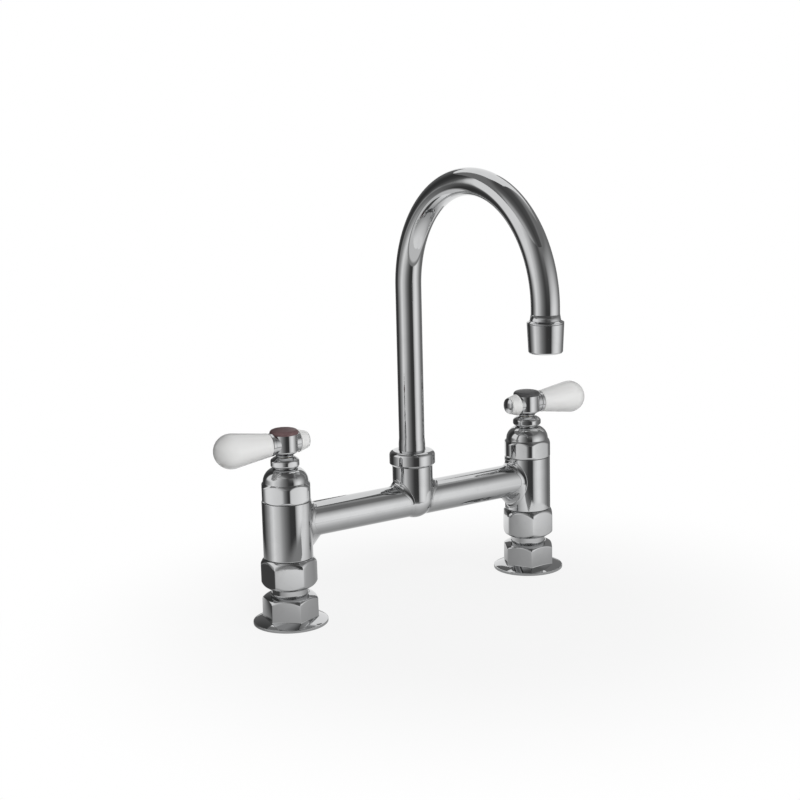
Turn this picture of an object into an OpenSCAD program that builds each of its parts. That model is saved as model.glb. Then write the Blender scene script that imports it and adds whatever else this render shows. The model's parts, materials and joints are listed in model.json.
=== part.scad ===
// Bridge faucet for a bathroom sink: two deck inlets, one cast body with a bridge
// tube between two valve barrels, quarter-turn ceramic disc valves under lever
// handles, and a gooseneck spout that swivels in the body's centre boss.
// All sizes are in millimetres. The deck is the plane z = 0, the outlet points to -Y,
// hot is at -X and cold at +X. The origin is below the middle of the whole faucet,
// so the inlets and the spout's swivel axis stand behind it, at y = axis_y.

/* [Layout] */
// Distance between the axes of the two inlets
inlet_spread = 203.2; // [150:0.1:320]
// Horizontal distance from the swivel axis to the outlet axis
spout_reach = 147.2; // [100:0.1:220]
// Height above the deck where the gooseneck begins to bend
bend_z = 217.5; // [170:0.5:320]
// Angle at which the hexagon of the hot inlet stands
hot_inlet_turn = 20; // [0:1:60]
// Angle at which the hexagon of the cold inlet stands
cold_inlet_turn = 0; // [0:1:60]
// Angle at which the hot side's union nut was tightened
hot_nut_turn = 30; // [0:1:60]
// Angle at which the cold side's union nut was tightened
cold_nut_turn = 4; // [0:1:60]
// Angle at which the hot side's packing nut was tightened
hot_packing_turn = 0; // [0:1:60]
// Angle at which the cold side's packing nut was tightened
cold_packing_turn = 22; // [0:1:60]

/* [Deck inlets] */
// Diameter of the round deck flange
flange_d = 50.4; // [44:0.1:60]
// Thickness of the flange at its rim
flange_rim = 1.8; // [1.2:0.1:4]
// Height at which the flange's domed top meets the hexagon's flats
flange_rise = 4.6; // [2.6:0.1:6]
// Width across flats of the hexagon above the flange
inlet_hex_af = 34.2; // [30:0.1:40]
// Height of the top of the hexagon above the deck
inlet_hex_top = 20.6; // [17:0.1:26]
// Height of the rounded crown on a hexagon
hex_crown = 4.6; // [2:0.1:6]
// Diameter of the round neck above the hexagon
neck_d = 24.8; // [22:0.1:27]
// Length of the neck between the hexagon and its lip
neck_len = 8.1; // [6.5:0.1:14]
// Diameter of the lip that the union nut pulls on
lip_d = 27.8; // [26:0.1:30]
// Height of that lip
lip_h = 2.8; // [2:0.1:5]
// Wall diameter of the threaded supply hole in the underside
supply_hole_d = 18.3; // [16:0.1:20]
// Depth of the threaded supply hole
supply_hole_depth = 16; // [10:0.5:18]
// Diameter of the waterway through inlets and barrels
waterway_d = 15; // [10:0.1:16]
// Thickness of the washer between inlet and body
inlet_washer_t = 1.5; // [1:0.1:3]

/* [Union nuts] */
// Width across flats of a union nut
union_af = 34.2; // [32:0.1:40]
// Height of a union nut
union_h = 20.8; // [18:0.1:28]
// Thickness of the nut's foot under the lip
union_foot = 4.2; // [3:0.1:6]
// Diameter of the thread on the body's tail inside the nut
tail_d = 28.6; // [28:0.1:30]

/* [Cast body] */
// Outside diameter of a valve barrel
barrel_d = 33.2; // [31:0.1:38]
// Length of a barrel between union nut and bonnet
barrel_len = 38.5; // [36:0.1:60]
// Height of the bridge axis above the barrel's shoulder
bridge_rise = 22.4; // [20:0.1:24]
// Outside diameter of the bridge tube
bridge_d = 23.2; // [20:0.1:26]
// Diameter of the waterway through the bridge
bridge_bore_d = 15.6; // [10:0.1:17]
// Radius of the fillet below the bridge where it runs into a barrel
barrel_fillet = 9; // [4:0.1:10]
// Radius of the fillet where the bridge runs into the spout boss
boss_fillet = 5; // [3:0.1:7]
// How much further down than the tube the bridge swells below the boss
boss_swell = 1; // [0:0.1:1.5]
// Step from the boss down to its thread, on the radius
boss_step = 0.5; // [0.2:0.1:2]
// Height of the boss shoulder above the bridge axis
boss_rise = 25; // [24:0.1:40]
// Length of the boss thread above that shoulder
boss_thread_len = 5.3; // [4:0.1:10]
// Rim of the boss outside the glide rings, on the radius
boss_rim = 0.9; // [0.6:0.1:2]
// Depth of the spout's socket, down from the top of the boss
socket_depth = 20.5; // [18:0.1:22]

/* [Bonnets] */
// How much narrower than the barrel a bonnet is across its flats
bonnet_inset = 0.8; // [0:0.1:2]
// Height of the bonnet's hexagon
bonnet_hex_h = 12.9; // [10:0.1:18]
// Radius of the shoulder's arc above the hexagon
shoulder_r = 9.6; // [7:0.1:9.8]
// Step from the hexagon's flats in to the round shoulder
shoulder_step = 1; // [0.5:0.1:2]
// Height of the shoulder above the hexagon
shoulder_h = 9.2; // [6:0.1:9.4]
// Diameter of the bonnet's lower thread
bonnet_thread_d = 26.2; // [25:0.1:27]
// Length of the bonnet's lower thread
bonnet_thread_len = 6; // [5:0.1:8]
// Thickness of the washer under the bonnet
bonnet_washer_t = 0.7; // [0.5:0.1:1.5]
// Diameter of the thread on top of the bonnet
gland_thread_d = 15.4; // [14.5:0.1:16]
// Length of the thread on top of the bonnet
gland_thread_len = 5.3; // [4:0.1:6]
// Width across flats of the packing nut
packing_nut_af = 19.2; // [18.4:0.1:22]
// Height of the packing nut
packing_nut_h = 6.9; // [6:0.1:9]
// Bare height between shoulder and packing nut
packing_nut_gap = 0.7; // [0.4:0.1:2]

/* [Valve cartridges] */
// Diameter of the chamber in the barrel
chamber_d = 24.2; // [23:0.1:25]
// Height of the seat above the barrel's shoulder
seat_rise = 9.5; // [8:0.1:10]
// Outside diameter of the cartridge sleeve
sleeve_d = 23.4; // [22:0.1:24]
// Wall of the cartridge sleeve
sleeve_wall = 2.1; // [1.5:0.1:2.5]
// Thickness of the seat seal
seat_seal_t = 2; // [1.5:0.1:3]
// Thickness of the fixed ceramic disc
fixed_disc_t = 3.6; // [2.5:0.1:4.5]
// Thickness of the turning ceramic disc
moving_disc_t = 3.2; // [2.5:0.1:4.5]
// Thickness of the driver under the spindle
driver_t = 2.8; // [2:0.1:4]
// Diameter of the spindle
spindle_d = 8; // [7:0.1:8.4]
// Width across flats of the square at the spindle's top
square_af = 5.6; // [4.8:0.1:5.8]
// Height of that square
square_h = 5.2; // [4:0.1:6]

/* [Handles] */
// Diameter of the handle hub
hub_d = 18.8; // [17:0.1:22]
// Diameter of the hub's foot above the packing nut
hub_foot_d = 11.8; // [10:0.1:14]
// Height of the hub from its foot to the index button
hub_h = 14.85; // [14:0.05:20]
// Height of the lever's axis above the hub's foot
lever_rise = 8.85; // [8.5:0.05:10]
// Diameter of the index button
button_d = 19.2; // [17:0.1:22]
// Height of the index button's dome
button_h = 4; // [3.4:0.1:6]
// Distance from the spindle axis to the inner end of the ceramic lever
lever_start = 12; // [11:0.1:18]
// Distance from the spindle axis to the lever's tip
lever_reach = 51.2; // [45:0.1:80]
// Diameter of the lever at its inner end
lever_neck_d = 15.6; // [13:0.1:18]
// Diameter of the lever's round end
lever_end_d = 23.2; // [20:0.1:28]
// Diameter of the ferrule between hub and lever
ferrule_d = 15.2; // [12:0.1:16]
// Diameter of the stud inside the lever
stud_d = 4.8; // [4:0.1:5]
// Diameter of the ceramic stub opposite the lever, at the hub
stub_d = 15.4; // [12:0.1:17]
// Diameter of the stub at its outer end
stub_end_d = 12; // [9:0.1:14]
// Distance from the spindle axis to the stub's outer end
stub_end = 16.8; // [13:0.1:20]
// Height of the domed chrome cap on the stub's end
cap_h = 1.4; // [0.8:0.1:3]

/* [Spout] */
// Outside diameter of the gooseneck tube
tube_d = 17.8; // [15:0.1:21]
// Wall of the gooseneck tube
tube_wall = 1.25; // [0.8:0.05:2]
// Wall of the swivel nut round the boss thread
swivel_nut_wall = 2.35; // [1.8:0.05:4]
// Height of the swivel nut
swivel_nut_h = 10.5; // [10:0.1:14]
// Wall of the spout's sleeve in its socket
spout_sleeve_wall = 1.55; // [1.3:0.05:1.8]
// Step from the sleeve out to its retaining collar, on the radius
collar_step = 2.15; // [1.5:0.05:2.5]
// Thickness of the retaining collar
collar_t = 1.4; // [1:0.1:2]
// Thickness of a glide ring
glide_t = 0.75; // [0.5:0.05:1.2]
// Height of the sleeve that shows above the swivel nut
sleeve_show = 7.9; // [3:0.1:14]
// Straight length of bare tube between the bend and the outlet's slope
outlet_straight = 3.7; // [0:0.1:60]
// Height of the aerator housing
aerator_h = 18.1; // [15:0.1:24]
// Wall of the outlet's threaded end round the tube
outlet_wall = 1.4; // [1.2:0.05:2]
// Wall of the aerator housing at its top
aerator_wall = 1.15; // [0.8:0.05:2]
// Difference between the aerator housing's top and rim diameters
aerator_taper = 1.7; // [0:0.1:2]
// Height of the outlet's collar above the aerator
outlet_collar_h = 1.9; // [1.5:0.1:6]
// Height of the slope from that collar to the tube
outlet_slope_h = 3.8; // [2:0.1:8]
// Distance between the holes of the flow straightener
straightener_pitch = 2.3; // [2:0.1:3]
// Distance between the openings of the outlet screen
screen_pitch = 1.9; // [1.5:0.1:3]

/* [Fits] */
// Radial clearance of a turning fit
turn_gap = 0.05; // [0.02:0.01:0.1]
// Radial clearance between screwed pieces
screw_gap = 0.05; // [0:0.01:0.1]
// Bare gap between pieces that pass each other
pass_gap = 0.3; // [0.2:0.05:0.6]

/* [Hidden] */
$fn = 96;
tiny = 0.01;
hex_sides = 6;
corner = 1 / cos(180 / hex_sides);

lip_z = inlet_hex_top + neck_len;
inlet_washer_z = lip_z + lip_h;
tail_z = inlet_washer_z + inlet_washer_t;
union_z = lip_z - union_foot;
shoulder_z = union_z + union_h + pass_gap;
bridge_z = shoulder_z + bridge_rise;
seat_z = shoulder_z + seat_rise;
upper_fillet = min(barrel_fillet, barrel_len - bridge_rise - bridge_d / 2);
barrel_top = shoulder_z + barrel_len;

tower_x = inlet_spread / 2;
bonnet_af = barrel_d - bonnet_inset;
shoulder_d = bonnet_af - 2 * shoulder_step;
bonnet_z = barrel_top + pass_gap / 2;
hex_top_z = bonnet_z + bonnet_hex_h;
dome_top_z = hex_top_z + shoulder_h;
packing_nut_z = dome_top_z + packing_nut_gap;
packing_nut_top = packing_nut_z + packing_nut_h;
gland_top_z = dome_top_z + gland_thread_len;
packing_z = hex_top_z + shoulder_h / 2;
packing_d = gland_thread_d - 3.6;
packing_h = 4;

seal_z = seat_z;
fixed_disc_z = seal_z + seat_seal_t;
moving_disc_z = fixed_disc_z + fixed_disc_t + turn_gap;
driver_z = moving_disc_z + moving_disc_t;
bonnet_foot_z = barrel_top - bonnet_thread_len;
disc_d = sleeve_d - 2 * sleeve_wall;
ring_rise = 7.2;
ring_z = bonnet_foot_z + ring_rise;
ring_cavity_top = ring_z + 2;
spindle_seal_z = (ring_cavity_top + packing_z) / 2;

hub_z = packing_nut_top + pass_gap;
hub_top = hub_z + hub_h;
lever_z = hub_z + lever_rise;
screw_d = 3.3;
screw_depth = 5;
screw_head_h = 2.2;
screw_seat_z = hub_z + square_h + screw_head_h;
button_plug_z = hub_top - 2.6;
hub_pocket_d = 9.2;
stud_start = hub_pocket_d / 2 + 1.6;

spout_sleeve_d = tube_d + 2 * spout_sleeve_wall;
collar_d = spout_sleeve_d + 2 * collar_step;
boss_thread_d = collar_d + 2 * boss_rim;
boss_d = boss_thread_d + 2 * boss_step;
swivel_nut_d = boss_thread_d + 2 * (swivel_nut_wall + screw_gap);
boss_shoulder_z = bridge_z + boss_rise;
boss_top = boss_shoulder_z + boss_thread_len;
socket_z = boss_top - socket_depth;
socket_d = spout_sleeve_d + 2 * turn_gap;
lower_glide_z = boss_top;
collar_z = lower_glide_z + glide_t + turn_gap;
upper_glide_z = collar_z + collar_t + turn_gap;
nut_ceiling_z = upper_glide_z + glide_t;
swivel_nut_z = boss_shoulder_z + pass_gap;
swivel_nut_top = swivel_nut_z + swivel_nut_h;
sleeve_foot_z = socket_z + 1.5;
tube_foot_z = sleeve_foot_z + 4;
sleeve_neck_d = tube_d + 0.7;
bend_r = spout_reach / 2;
ferrule_top_z = bend_z - outlet_straight - outlet_slope_h;
outlet_z = ferrule_top_z - outlet_collar_h - aerator_h;
ferrule_foot_z = outlet_z + 0.48 * aerator_h;
tube_end_z = ferrule_foot_z + 4;
outlet_thread_d = tube_d + 2 * outlet_wall;
aerator_top_d = outlet_thread_d + 2 * aerator_wall;
aerator_rim_d = aerator_top_d - aerator_taper;
axis_y = (spout_reach + aerator_top_d / 2 - flange_d / 2) / 2;
insert_d = outlet_thread_d - 2;
insert_z = outlet_z + 1.15;
insert_h = 5.5;
screen_t = 0.5;

chrome = [0.72, 0.73, 0.74];
brass = [0.78, 0.65, 0.35];
rubber = [0.12, 0.12, 0.12];
nylon = [0.9, 0.9, 0.86];
steel = [0.62, 0.63, 0.64];
disc_white = [0.93, 0.92, 0.88];
glaze_white = [0.93, 0.93, 0.92];
hot_red = [0.42, 0.16, 0.17];
cold_grey = [0.16, 0.18, 0.22];

// Puts a piece on the swivel axis.
module at_swivel() {
    translate([0, axis_y, 0]) children();
}

// Puts a piece on the hot inlet's axis, turned so that its lever points outwards.
module at_hot() {
    translate([-tower_x, axis_y, 0]) rotate([0, 0, 180]) children();
}

// Puts a piece on the cold inlet's axis.
module at_cold() {
    translate([tower_x, axis_y, 0]) children();
}

// A flat ring from height z, between two diameters.
module ring(z, h, outer_d, inner_d) {
    translate([0, 0, z]) difference() {
        cylinder(d = outer_d, h = h);
        translate([0, 0, -1]) cylinder(d = inner_d, h = h + 2);
    }
}

// A bore along Z from height z0 to z1.
module bore(d, z0, z1) {
    translate([0, 0, z0]) cylinder(d = d, h = z1 - z0);
}

// A hexagonal prism by its width across flats, with corners on the X axis.
module hex(af, h) {
    cylinder(d = af * corner, h = h, $fn = hex_sides);
}

// The round body that takes the corners off a hexagon: an arc in each outer edge.
module hex_rounding(af, h, foot_r, crown_r, foot_h, crown_h) {
    r = af * corner / 2;
    rotate_extrude() intersection() {
        square([r, h]);
        union() {
            translate([0, foot_h]) square([r, h - foot_h - crown_h]);
            polygon([[0, 0], [foot_r, 0], [r, foot_h], [r, h - crown_h], [crown_r, h], [0, h]]);
        }
    }
}

// A dome's section on the Z axis, from height 0, by its foot's radius and its height.
module dome_section(foot_r, h) {
    dome_r = (foot_r * foot_r + h * h) / (2 * h);
    intersection() {
        translate([0, h - dome_r]) circle(r = dome_r);
        square([foot_r, h]);
    }
}

// A ring of round section around the Z axis at height z.
module o_ring(z, centre_r, section_d) {
    translate([0, 0, z]) rotate_extrude() translate([centre_r, 0]) circle(d = section_d, $fn = 32);
}

// The concave sweep of a horizontal tube into a round post at x = 0. It is a flare
// no wider than the tube, set above it (up = 1) or below it (up = -1).
module sweep_in(post_r, tube_r, fillet, up) {
    overlap = 0.15;
    translate([0, 0, up * (fillet - overlap)]) rotate([0, 90, 0]) rotate_extrude() difference() {
        square([tube_r, post_r + fillet]);
        translate([tube_r, post_r + fillet]) circle(r = fillet);
    }
}

// One cast valve barrel with its threaded tail, solid, on the Z axis.
module barrel_blank() {
    bore(barrel_d, shoulder_z, barrel_top);
    bore(tail_d, tail_z, shoulder_z + 1);
}

// The rooms of one barrel: waterway, valve chamber and bonnet thread.
module barrel_rooms() {
    bore(waterway_d, tail_z - 1, seat_z + 1);
    bore(chamber_d, seat_z, barrel_top);
    bore(bonnet_thread_d + 2 * screw_gap, bonnet_foot_z - 1, barrel_top + 1);
}

// The spout boss: a round post whose foot swells smoothly into the bridge.
module boss_blank() {
    swell_r = boss_d / 2 - 0.4;
    swell_z = bridge_z - bridge_d / 2 - boss_swell + swell_r;
    bore(boss_d, swell_z, boss_shoulder_z);
    bore(boss_thread_d, boss_shoulder_z - 1, boss_top);
    translate([0, 0, swell_z]) rotate_extrude() intersection() {
        translate([boss_d / 2 - swell_r, 0]) circle(r = swell_r);
        translate([0, -bridge_d]) square([boss_d, bridge_d]);
    }
}

module faucet_body() {
    color(chrome) difference() {
        union() {
            for (side = [0, 180]) {
                rotate([0, 0, side]) {
                    translate([-tower_x, 0, 0]) barrel_blank();
                    translate([0, 0, bridge_z]) sweep_in(boss_d / 2, bridge_d / 2, boss_fillet, 1);
                    translate([-tower_x, 0, bridge_z]) sweep_in(barrel_d / 2, bridge_d / 2, upper_fillet, 1);
                    translate([-tower_x, 0, bridge_z]) sweep_in(barrel_d / 2, bridge_d / 2, barrel_fillet, -1);
                }
            }
            translate([-tower_x, 0, bridge_z]) rotate([0, 90, 0]) cylinder(d = bridge_d, h = inlet_spread);
            boss_blank();
        }
        for (side = [0, 180])
            rotate([0, 0, side]) translate([-tower_x, 0, 0]) barrel_rooms();
        translate([-tower_x, 0, bridge_z]) rotate([0, 90, 0])
            cylinder(d = bridge_bore_d, h = inlet_spread);
        bore(waterway_d, bridge_z, socket_z + 1);
        bore(socket_d, socket_z, boss_top + 1);
    }
}

// The threaded deck inlet: domed flange, hexagon with a rounded crown, neck and lip.
module inlet_flange(turn) {
    hex_h = inlet_hex_top - flange_rim;
    dome_foot_r = flange_d / 2 - 0.5;
    dome_h = (flange_rise - flange_rim) / (1 - pow(inlet_hex_af / 2 / dome_foot_r, 2));
    color(chrome) rotate([0, 0, turn]) difference() {
        union() {
            bore(flange_d, 0, flange_rim);
            translate([0, 0, flange_rim]) rotate_extrude() dome_section(dome_foot_r, dome_h);
            translate([0, 0, flange_rim]) intersection() {
                hex(inlet_hex_af, hex_h);
                hex_rounding(inlet_hex_af, hex_h, inlet_hex_af * corner / 2, neck_d / 2 + 1, tiny, hex_crown);
            }
            bore(neck_d, inlet_hex_top - 1, lip_z + 1);
            bore(lip_d, lip_z, lip_z + lip_h);
        }
        bore(supply_hole_d, -1, supply_hole_depth);
        bore(waterway_d, supply_hole_depth - 1, lip_z + lip_h + 1);
    }
}

// The union nut that pulls the inlet's lip up against the body's tail.
module union_nut(turn) {
    color(chrome) rotate([0, 0, turn]) difference() {
        translate([0, 0, union_z]) intersection() {
            hex(union_af, union_h);
            hex_rounding(union_af, union_h, neck_d / 2 + 1.2, union_af / 2 - 0.5, hex_crown, 0.8 * hex_crown);
        }
        bore(neck_d + 2 * screw_gap, union_z - 1, union_z + union_foot);
        bore(tail_d + 2 * screw_gap, lip_z, union_z + union_h + 1);
    }
}

module inlet_washer() {
    color(rubber) ring(inlet_washer_z, inlet_washer_t, lip_d - 0.4, waterway_d + 0.8);
}

module seat_seal() {
    color(rubber) ring(seal_z, seat_seal_t, disc_d - tiny, waterway_d + 0.6);
}

// The valve's sleeve: it holds both discs, and its windows let the water out.
module cartridge_sleeve() {
    window_w = 0.4 * sleeve_d;
    window_z = driver_z + driver_t + 0.6;
    window_h = bonnet_foot_z - window_z - 1.6;
    color(brass) difference() {
        bore(sleeve_d, seal_z + tiny, bonnet_foot_z);
        bore(disc_d + 2 * turn_gap, seal_z - 1, bonnet_foot_z + 1);
        for (turn = [0, 90]) {
            rotate([0, 0, turn]) translate([-sleeve_d, -window_w / 2, window_z])
                cube([2 * sleeve_d, window_w, window_h]);
        }
    }
}

// Two opposite quarter ports of a ceramic disc, between two radii.
module disc_ports(h) {
    difference() {
        linear_extrude(h) {
            intersection() {
                circle(d = disc_d - 4);
                square(disc_d);
            }
            rotate(180) intersection() {
                circle(d = disc_d - 4);
                square(disc_d);
            }
        }
        translate([0, 0, -1]) cylinder(d = 3.6, h = h + 2);
        for (turn = [0, 90])
            rotate([0, 0, turn]) translate([-disc_d, -0.9, -1]) cube([2 * disc_d, 1.8, h + 2]);
    }
}

// The lower disc: its ports meet the upper disc's only after a quarter turn.
module fixed_disc() {
    color(disc_white) translate([0, 0, fixed_disc_z]) difference() {
        cylinder(d = disc_d, h = fixed_disc_t);
        translate([0, 0, -1]) disc_ports(fixed_disc_t + 2);
    }
}

// The upper disc, shut at rest, with a slot across its top for the driver.
module moving_disc() {
    color(disc_white) translate([0, 0, moving_disc_z]) difference() {
        cylinder(d = disc_d - 2 * turn_gap, h = moving_disc_t);
        translate([0, 0, -1]) rotate([0, 0, 90]) disc_ports(moving_disc_t + 2);
        translate([-disc_d, -1.5, moving_disc_t - 1.2]) cube([2 * disc_d, 3, 2]);
    }
}

// The hexagonal bonnet with its rounded shoulder, threads and packing room.
module bonnet() {
    color(chrome) difference() {
        union() {
            translate([0, 0, bonnet_z]) intersection() {
                hex(bonnet_af, bonnet_hex_h);
                hex_rounding(bonnet_af, bonnet_hex_h, bonnet_af / 2 + 0.6, shoulder_d / 2, 1.6, 2);
            }
            translate([0, 0, hex_top_z - tiny]) rotate_extrude() intersection() {
                union() {
                    translate([shoulder_d / 2 - shoulder_r, 0]) circle(r = shoulder_r);
                    square([shoulder_d / 2 - shoulder_r, shoulder_h]);
                }
                square([shoulder_d, shoulder_h]);
            }
            bore(gland_thread_d, dome_top_z - 1, gland_top_z);
            bore(bonnet_thread_d, bonnet_foot_z, bonnet_z + 1);
        }
        bore(packing_d, packing_z, gland_top_z + 1);
        bore(spindle_d + 2 * turn_gap, bonnet_foot_z, packing_z + 1);
        bore(disc_d - 3, bonnet_foot_z - 1, ring_cavity_top);
        ring(bonnet_z - 1, 1 + bonnet_washer_t - pass_gap / 2, barrel_d - 1.4, bonnet_thread_d);
    }
}

module bonnet_washer() {
    color(rubber) ring(barrel_top, bonnet_washer_t, barrel_d - 1.6, bonnet_thread_d + 0.2);
}

module packing_ring() {
    color(nylon) ring(packing_z, packing_h, packing_d - 0.1, spindle_d + 2 * turn_gap);
}

// The brass follower that the packing nut presses down on the packing.
module packing_gland() {
    color(brass) ring(packing_z + packing_h, packing_nut_z + packing_nut_h - 2 - packing_z - packing_h,
        packing_d - 0.2, spindle_d + 4 * turn_gap);
}

module packing_nut(turn) {
    crown_r = hub_foot_d / 2 + 0.5;
    color(chrome) rotate([0, 0, turn]) difference() {
        translate([0, 0, packing_nut_z]) intersection() {
            hex(packing_nut_af, packing_nut_h);
            hex_rounding(packing_nut_af, packing_nut_h, packing_nut_af / 2 - 0.8, crown_r, 1.8, 3.6);
        }
        bore(gland_thread_d + 2 * screw_gap, packing_nut_z - 1, packing_nut_top - 2);
        bore(spindle_d + 4 * turn_gap, packing_nut_z, packing_nut_top + 1);
    }
}

// The spindle: driver with a tongue below, grooves for seal and ring, square above.
module spindle() {
    groove_h = 1.2;
    color(brass) difference() {
        union() {
            bore(disc_d - 0.8, driver_z + tiny, driver_z + driver_t);
            translate([-disc_d / 2 + 1, -1.4, driver_z - 1.1]) cube([disc_d - 2, 2.8, 2]);
            bore(spindle_d, driver_z + 1, hub_z);
            translate([-square_af / 2, -square_af / 2, hub_z - 1]) cube([square_af, square_af, square_h + 1]);
        }
        for (turn = [0, 180]) {
            rotate([0, 0, turn + 45]) translate([disc_d / 2 - 3, -2.4, driver_z - 2])
                cube([5, 4.8, driver_t + 4]);
        }
        ring(spindle_seal_z - groove_h / 2, groove_h, spindle_d + 1, spindle_d - 1.8);
        ring(ring_z - tiny, 1 + 2 * tiny, spindle_d + 1, spindle_d - 1.2);
        bore(screw_d, hub_z - screw_depth - 1, hub_z + square_h + 1);
    }
}

module spindle_seal() {
    color(rubber) o_ring(spindle_seal_z, spindle_d / 2 - 0.42, 0.84);
}

// The open ring that keeps the spindle from lifting out of the bonnet.
module snap_ring() {
    color(steel) difference() {
        ring(ring_z, 1, disc_d - 6, spindle_d - 1.2);
        translate([0, -spindle_d / 2 + 1.4, ring_z - 1]) cube([disc_d, spindle_d - 2.8, 3]);
    }
}

// The handle's hub: a round post on a narrow foot, open below for the spindle's
// square, above for screw and button, and on both sides for the studs.
module handle_hub() {
    foot_h = 1.9;
    color(chrome) difference() {
        union() {
            bore(hub_foot_d, hub_z, hub_z + foot_h + 1);
            translate([0, 0, hub_z + foot_h - 1]) cylinder(d1 = hub_foot_d, d2 = hub_d, h = 2.2);
            bore(hub_d, hub_z + foot_h + 1.2 - tiny, hub_top);
            translate([-hub_d / 2 - 0.2, 0, lever_z]) rotate([0, 90, 0])
                cylinder(d = ferrule_d - 0.8, h = hub_d + 0.4);
        }
        translate([-square_af / 2, -square_af / 2, hub_z - 1]) cube([square_af, square_af, square_h + 1]);
        bore(4.3, hub_z, screw_seat_z + 1);
        bore(hub_pocket_d, screw_seat_z, hub_top + 1);
        bore(button_d - 2.6, button_plug_z, hub_top + 1);
        bore(button_d + 1, hub_top, hub_top + 2);
        for (side = [-1, 1]) {
            translate([side * stud_start, 0, lever_z]) rotate([0, side * 90, 0])
                cylinder(d = stud_d, h = hub_d);
        }
    }
}

module handle_screw() {
    head_d = 7.6;
    color(steel) difference() {
        union() {
            translate([0, 0, screw_seat_z]) cylinder(d1 = head_d, d2 = head_d - 1.2, h = screw_head_h);
            bore(screw_d, hub_z - screw_depth, screw_seat_z + 1);
        }
        for (turn = [0, 90])
            rotate([0, 0, turn]) translate([-2.2, -0.45, screw_seat_z + 1]) cube([4.4, 0.9, 3]);
    }
}

// The snap-in index button: a round-edged disc with a low crown and a plug below.
module index_button() {
    rim_h = 0.7;
    edge_r = 2.4;
    top_r = button_d / 2 - edge_r;
    bore(button_d, hub_top, hub_top + rim_h);
    translate([0, 0, hub_top + rim_h]) rotate_extrude() {
        square([top_r, edge_r]);
        translate([top_r, 0]) intersection() {
            circle(r = edge_r);
            square(edge_r);
        }
        translate([0, edge_r]) dome_section(top_r, button_h - rim_h - edge_r);
    }
    bore(button_d - 2.7, button_plug_z, hub_top + tiny);
}

module lever_stud() {
    color(brass) translate([stud_start, 0, lever_z]) rotate([0, 90, 0])
        cylinder(d = stud_d, h = lever_reach - lever_end_d / 2 - stud_start);
}

module grip_ferrule() {
    color(chrome) translate([hub_d / 2 + 0.2, 0, lever_z]) rotate([0, 90, 0]) difference() {
        cylinder(d = ferrule_d, h = lever_start - hub_d / 2 - 0.2);
        translate([0, 0, -1]) cylinder(d = stud_d, h = lever_start);
    }
}

// The ceramic lever: a cone that runs tangent into a round end.
module lever_grip() {
    end_r = lever_end_d / 2;
    neck_r = lever_neck_d / 2;
    span = lever_reach - end_r - lever_start;
    lean = asin((end_r - neck_r) / span);
    color(glaze_white) translate([lever_start, 0, lever_z]) rotate([0, 90, 0]) difference() {
        rotate_extrude() {
            intersection() {
                translate([0, span]) circle(r = end_r);
                square([end_r, span + end_r]);
            }
            polygon([[0, 0], [neck_r, 0], [end_r * cos(lean), span - end_r * sin(lean)], [0, span]]);
        }
        translate([0, 0, -1]) cylinder(d = stud_d + 0.4, h = span + 1.5);
    }
}

// The ceramic stub opposite the lever: a short cone with a round outer edge.
module stub_sleeve() {
    stub_len = stub_end - hub_d / 2 - 0.2;
    edge = 0.8;
    color(glaze_white) translate([-hub_d / 2 - 0.2, 0, lever_z]) rotate([0, -90, 0]) difference() {
        rotate_extrude() polygon([[0, 0], [stub_d / 2, 0], [stub_end_d / 2, stub_len - edge],
            [stub_end_d / 2 - edge / 3, stub_len - edge / 3], [stub_end_d / 2 - edge, stub_len], [0, stub_len]]);
        translate([0, 0, -1]) cylinder(d = stud_d, h = stub_len + 2);
    }
}

// The domed chrome cap on the stub's end, with its own stud into the hub.
module stub_cap() {
    cap_r = stub_end_d / 2 - 0.4;
    color(chrome) translate([0, 0, lever_z]) rotate([0, -90, 0]) {
        translate([0, 0, stub_end]) rotate_extrude() dome_section(cap_r, cap_h);
        translate([0, 0, stud_start]) cylinder(d = stud_d, h = stub_end - stud_start + cap_h / 2);
    }
}

// The swivel nut: a round nut with a domed top that holds the spout down.
module swivel_nut() {
    r = swivel_nut_d / 2;
    hole_r = sleeve_neck_d / 2 + turn_gap;
    round_r = 4.2;
    color(chrome) difference() {
        translate([0, 0, swivel_nut_z]) rotate_extrude() {
            polygon([[0, 0], [r - 1.2, 0], [r, 1.2], [r, swivel_nut_h - round_r], [0, swivel_nut_h - round_r]]);
            translate([0, swivel_nut_h - round_r]) square([r - round_r, round_r - 0.9]);
            translate([r - round_r, swivel_nut_h - round_r]) intersection() {
                circle(r = round_r);
                square([round_r, round_r - 0.9]);
            }
            polygon([[0, swivel_nut_h - 1.2], [r - round_r, swivel_nut_h - 1.2],
                [hole_r + 0.5, swivel_nut_h], [0, swivel_nut_h]]);
        }
        bore(boss_thread_d + 2 * screw_gap, swivel_nut_z - 1, nut_ceiling_z);
        bore(2 * hole_r, swivel_nut_z, swivel_nut_top + 1);
    }
}

module lower_glide_ring() {
    color(nylon) ring(lower_glide_z, glide_t, collar_d, socket_d);
}

module upper_glide_ring() {
    color(nylon) ring(upper_glide_z, glide_t, collar_d, 2 * (sleeve_neck_d / 2 + turn_gap));
}

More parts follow.
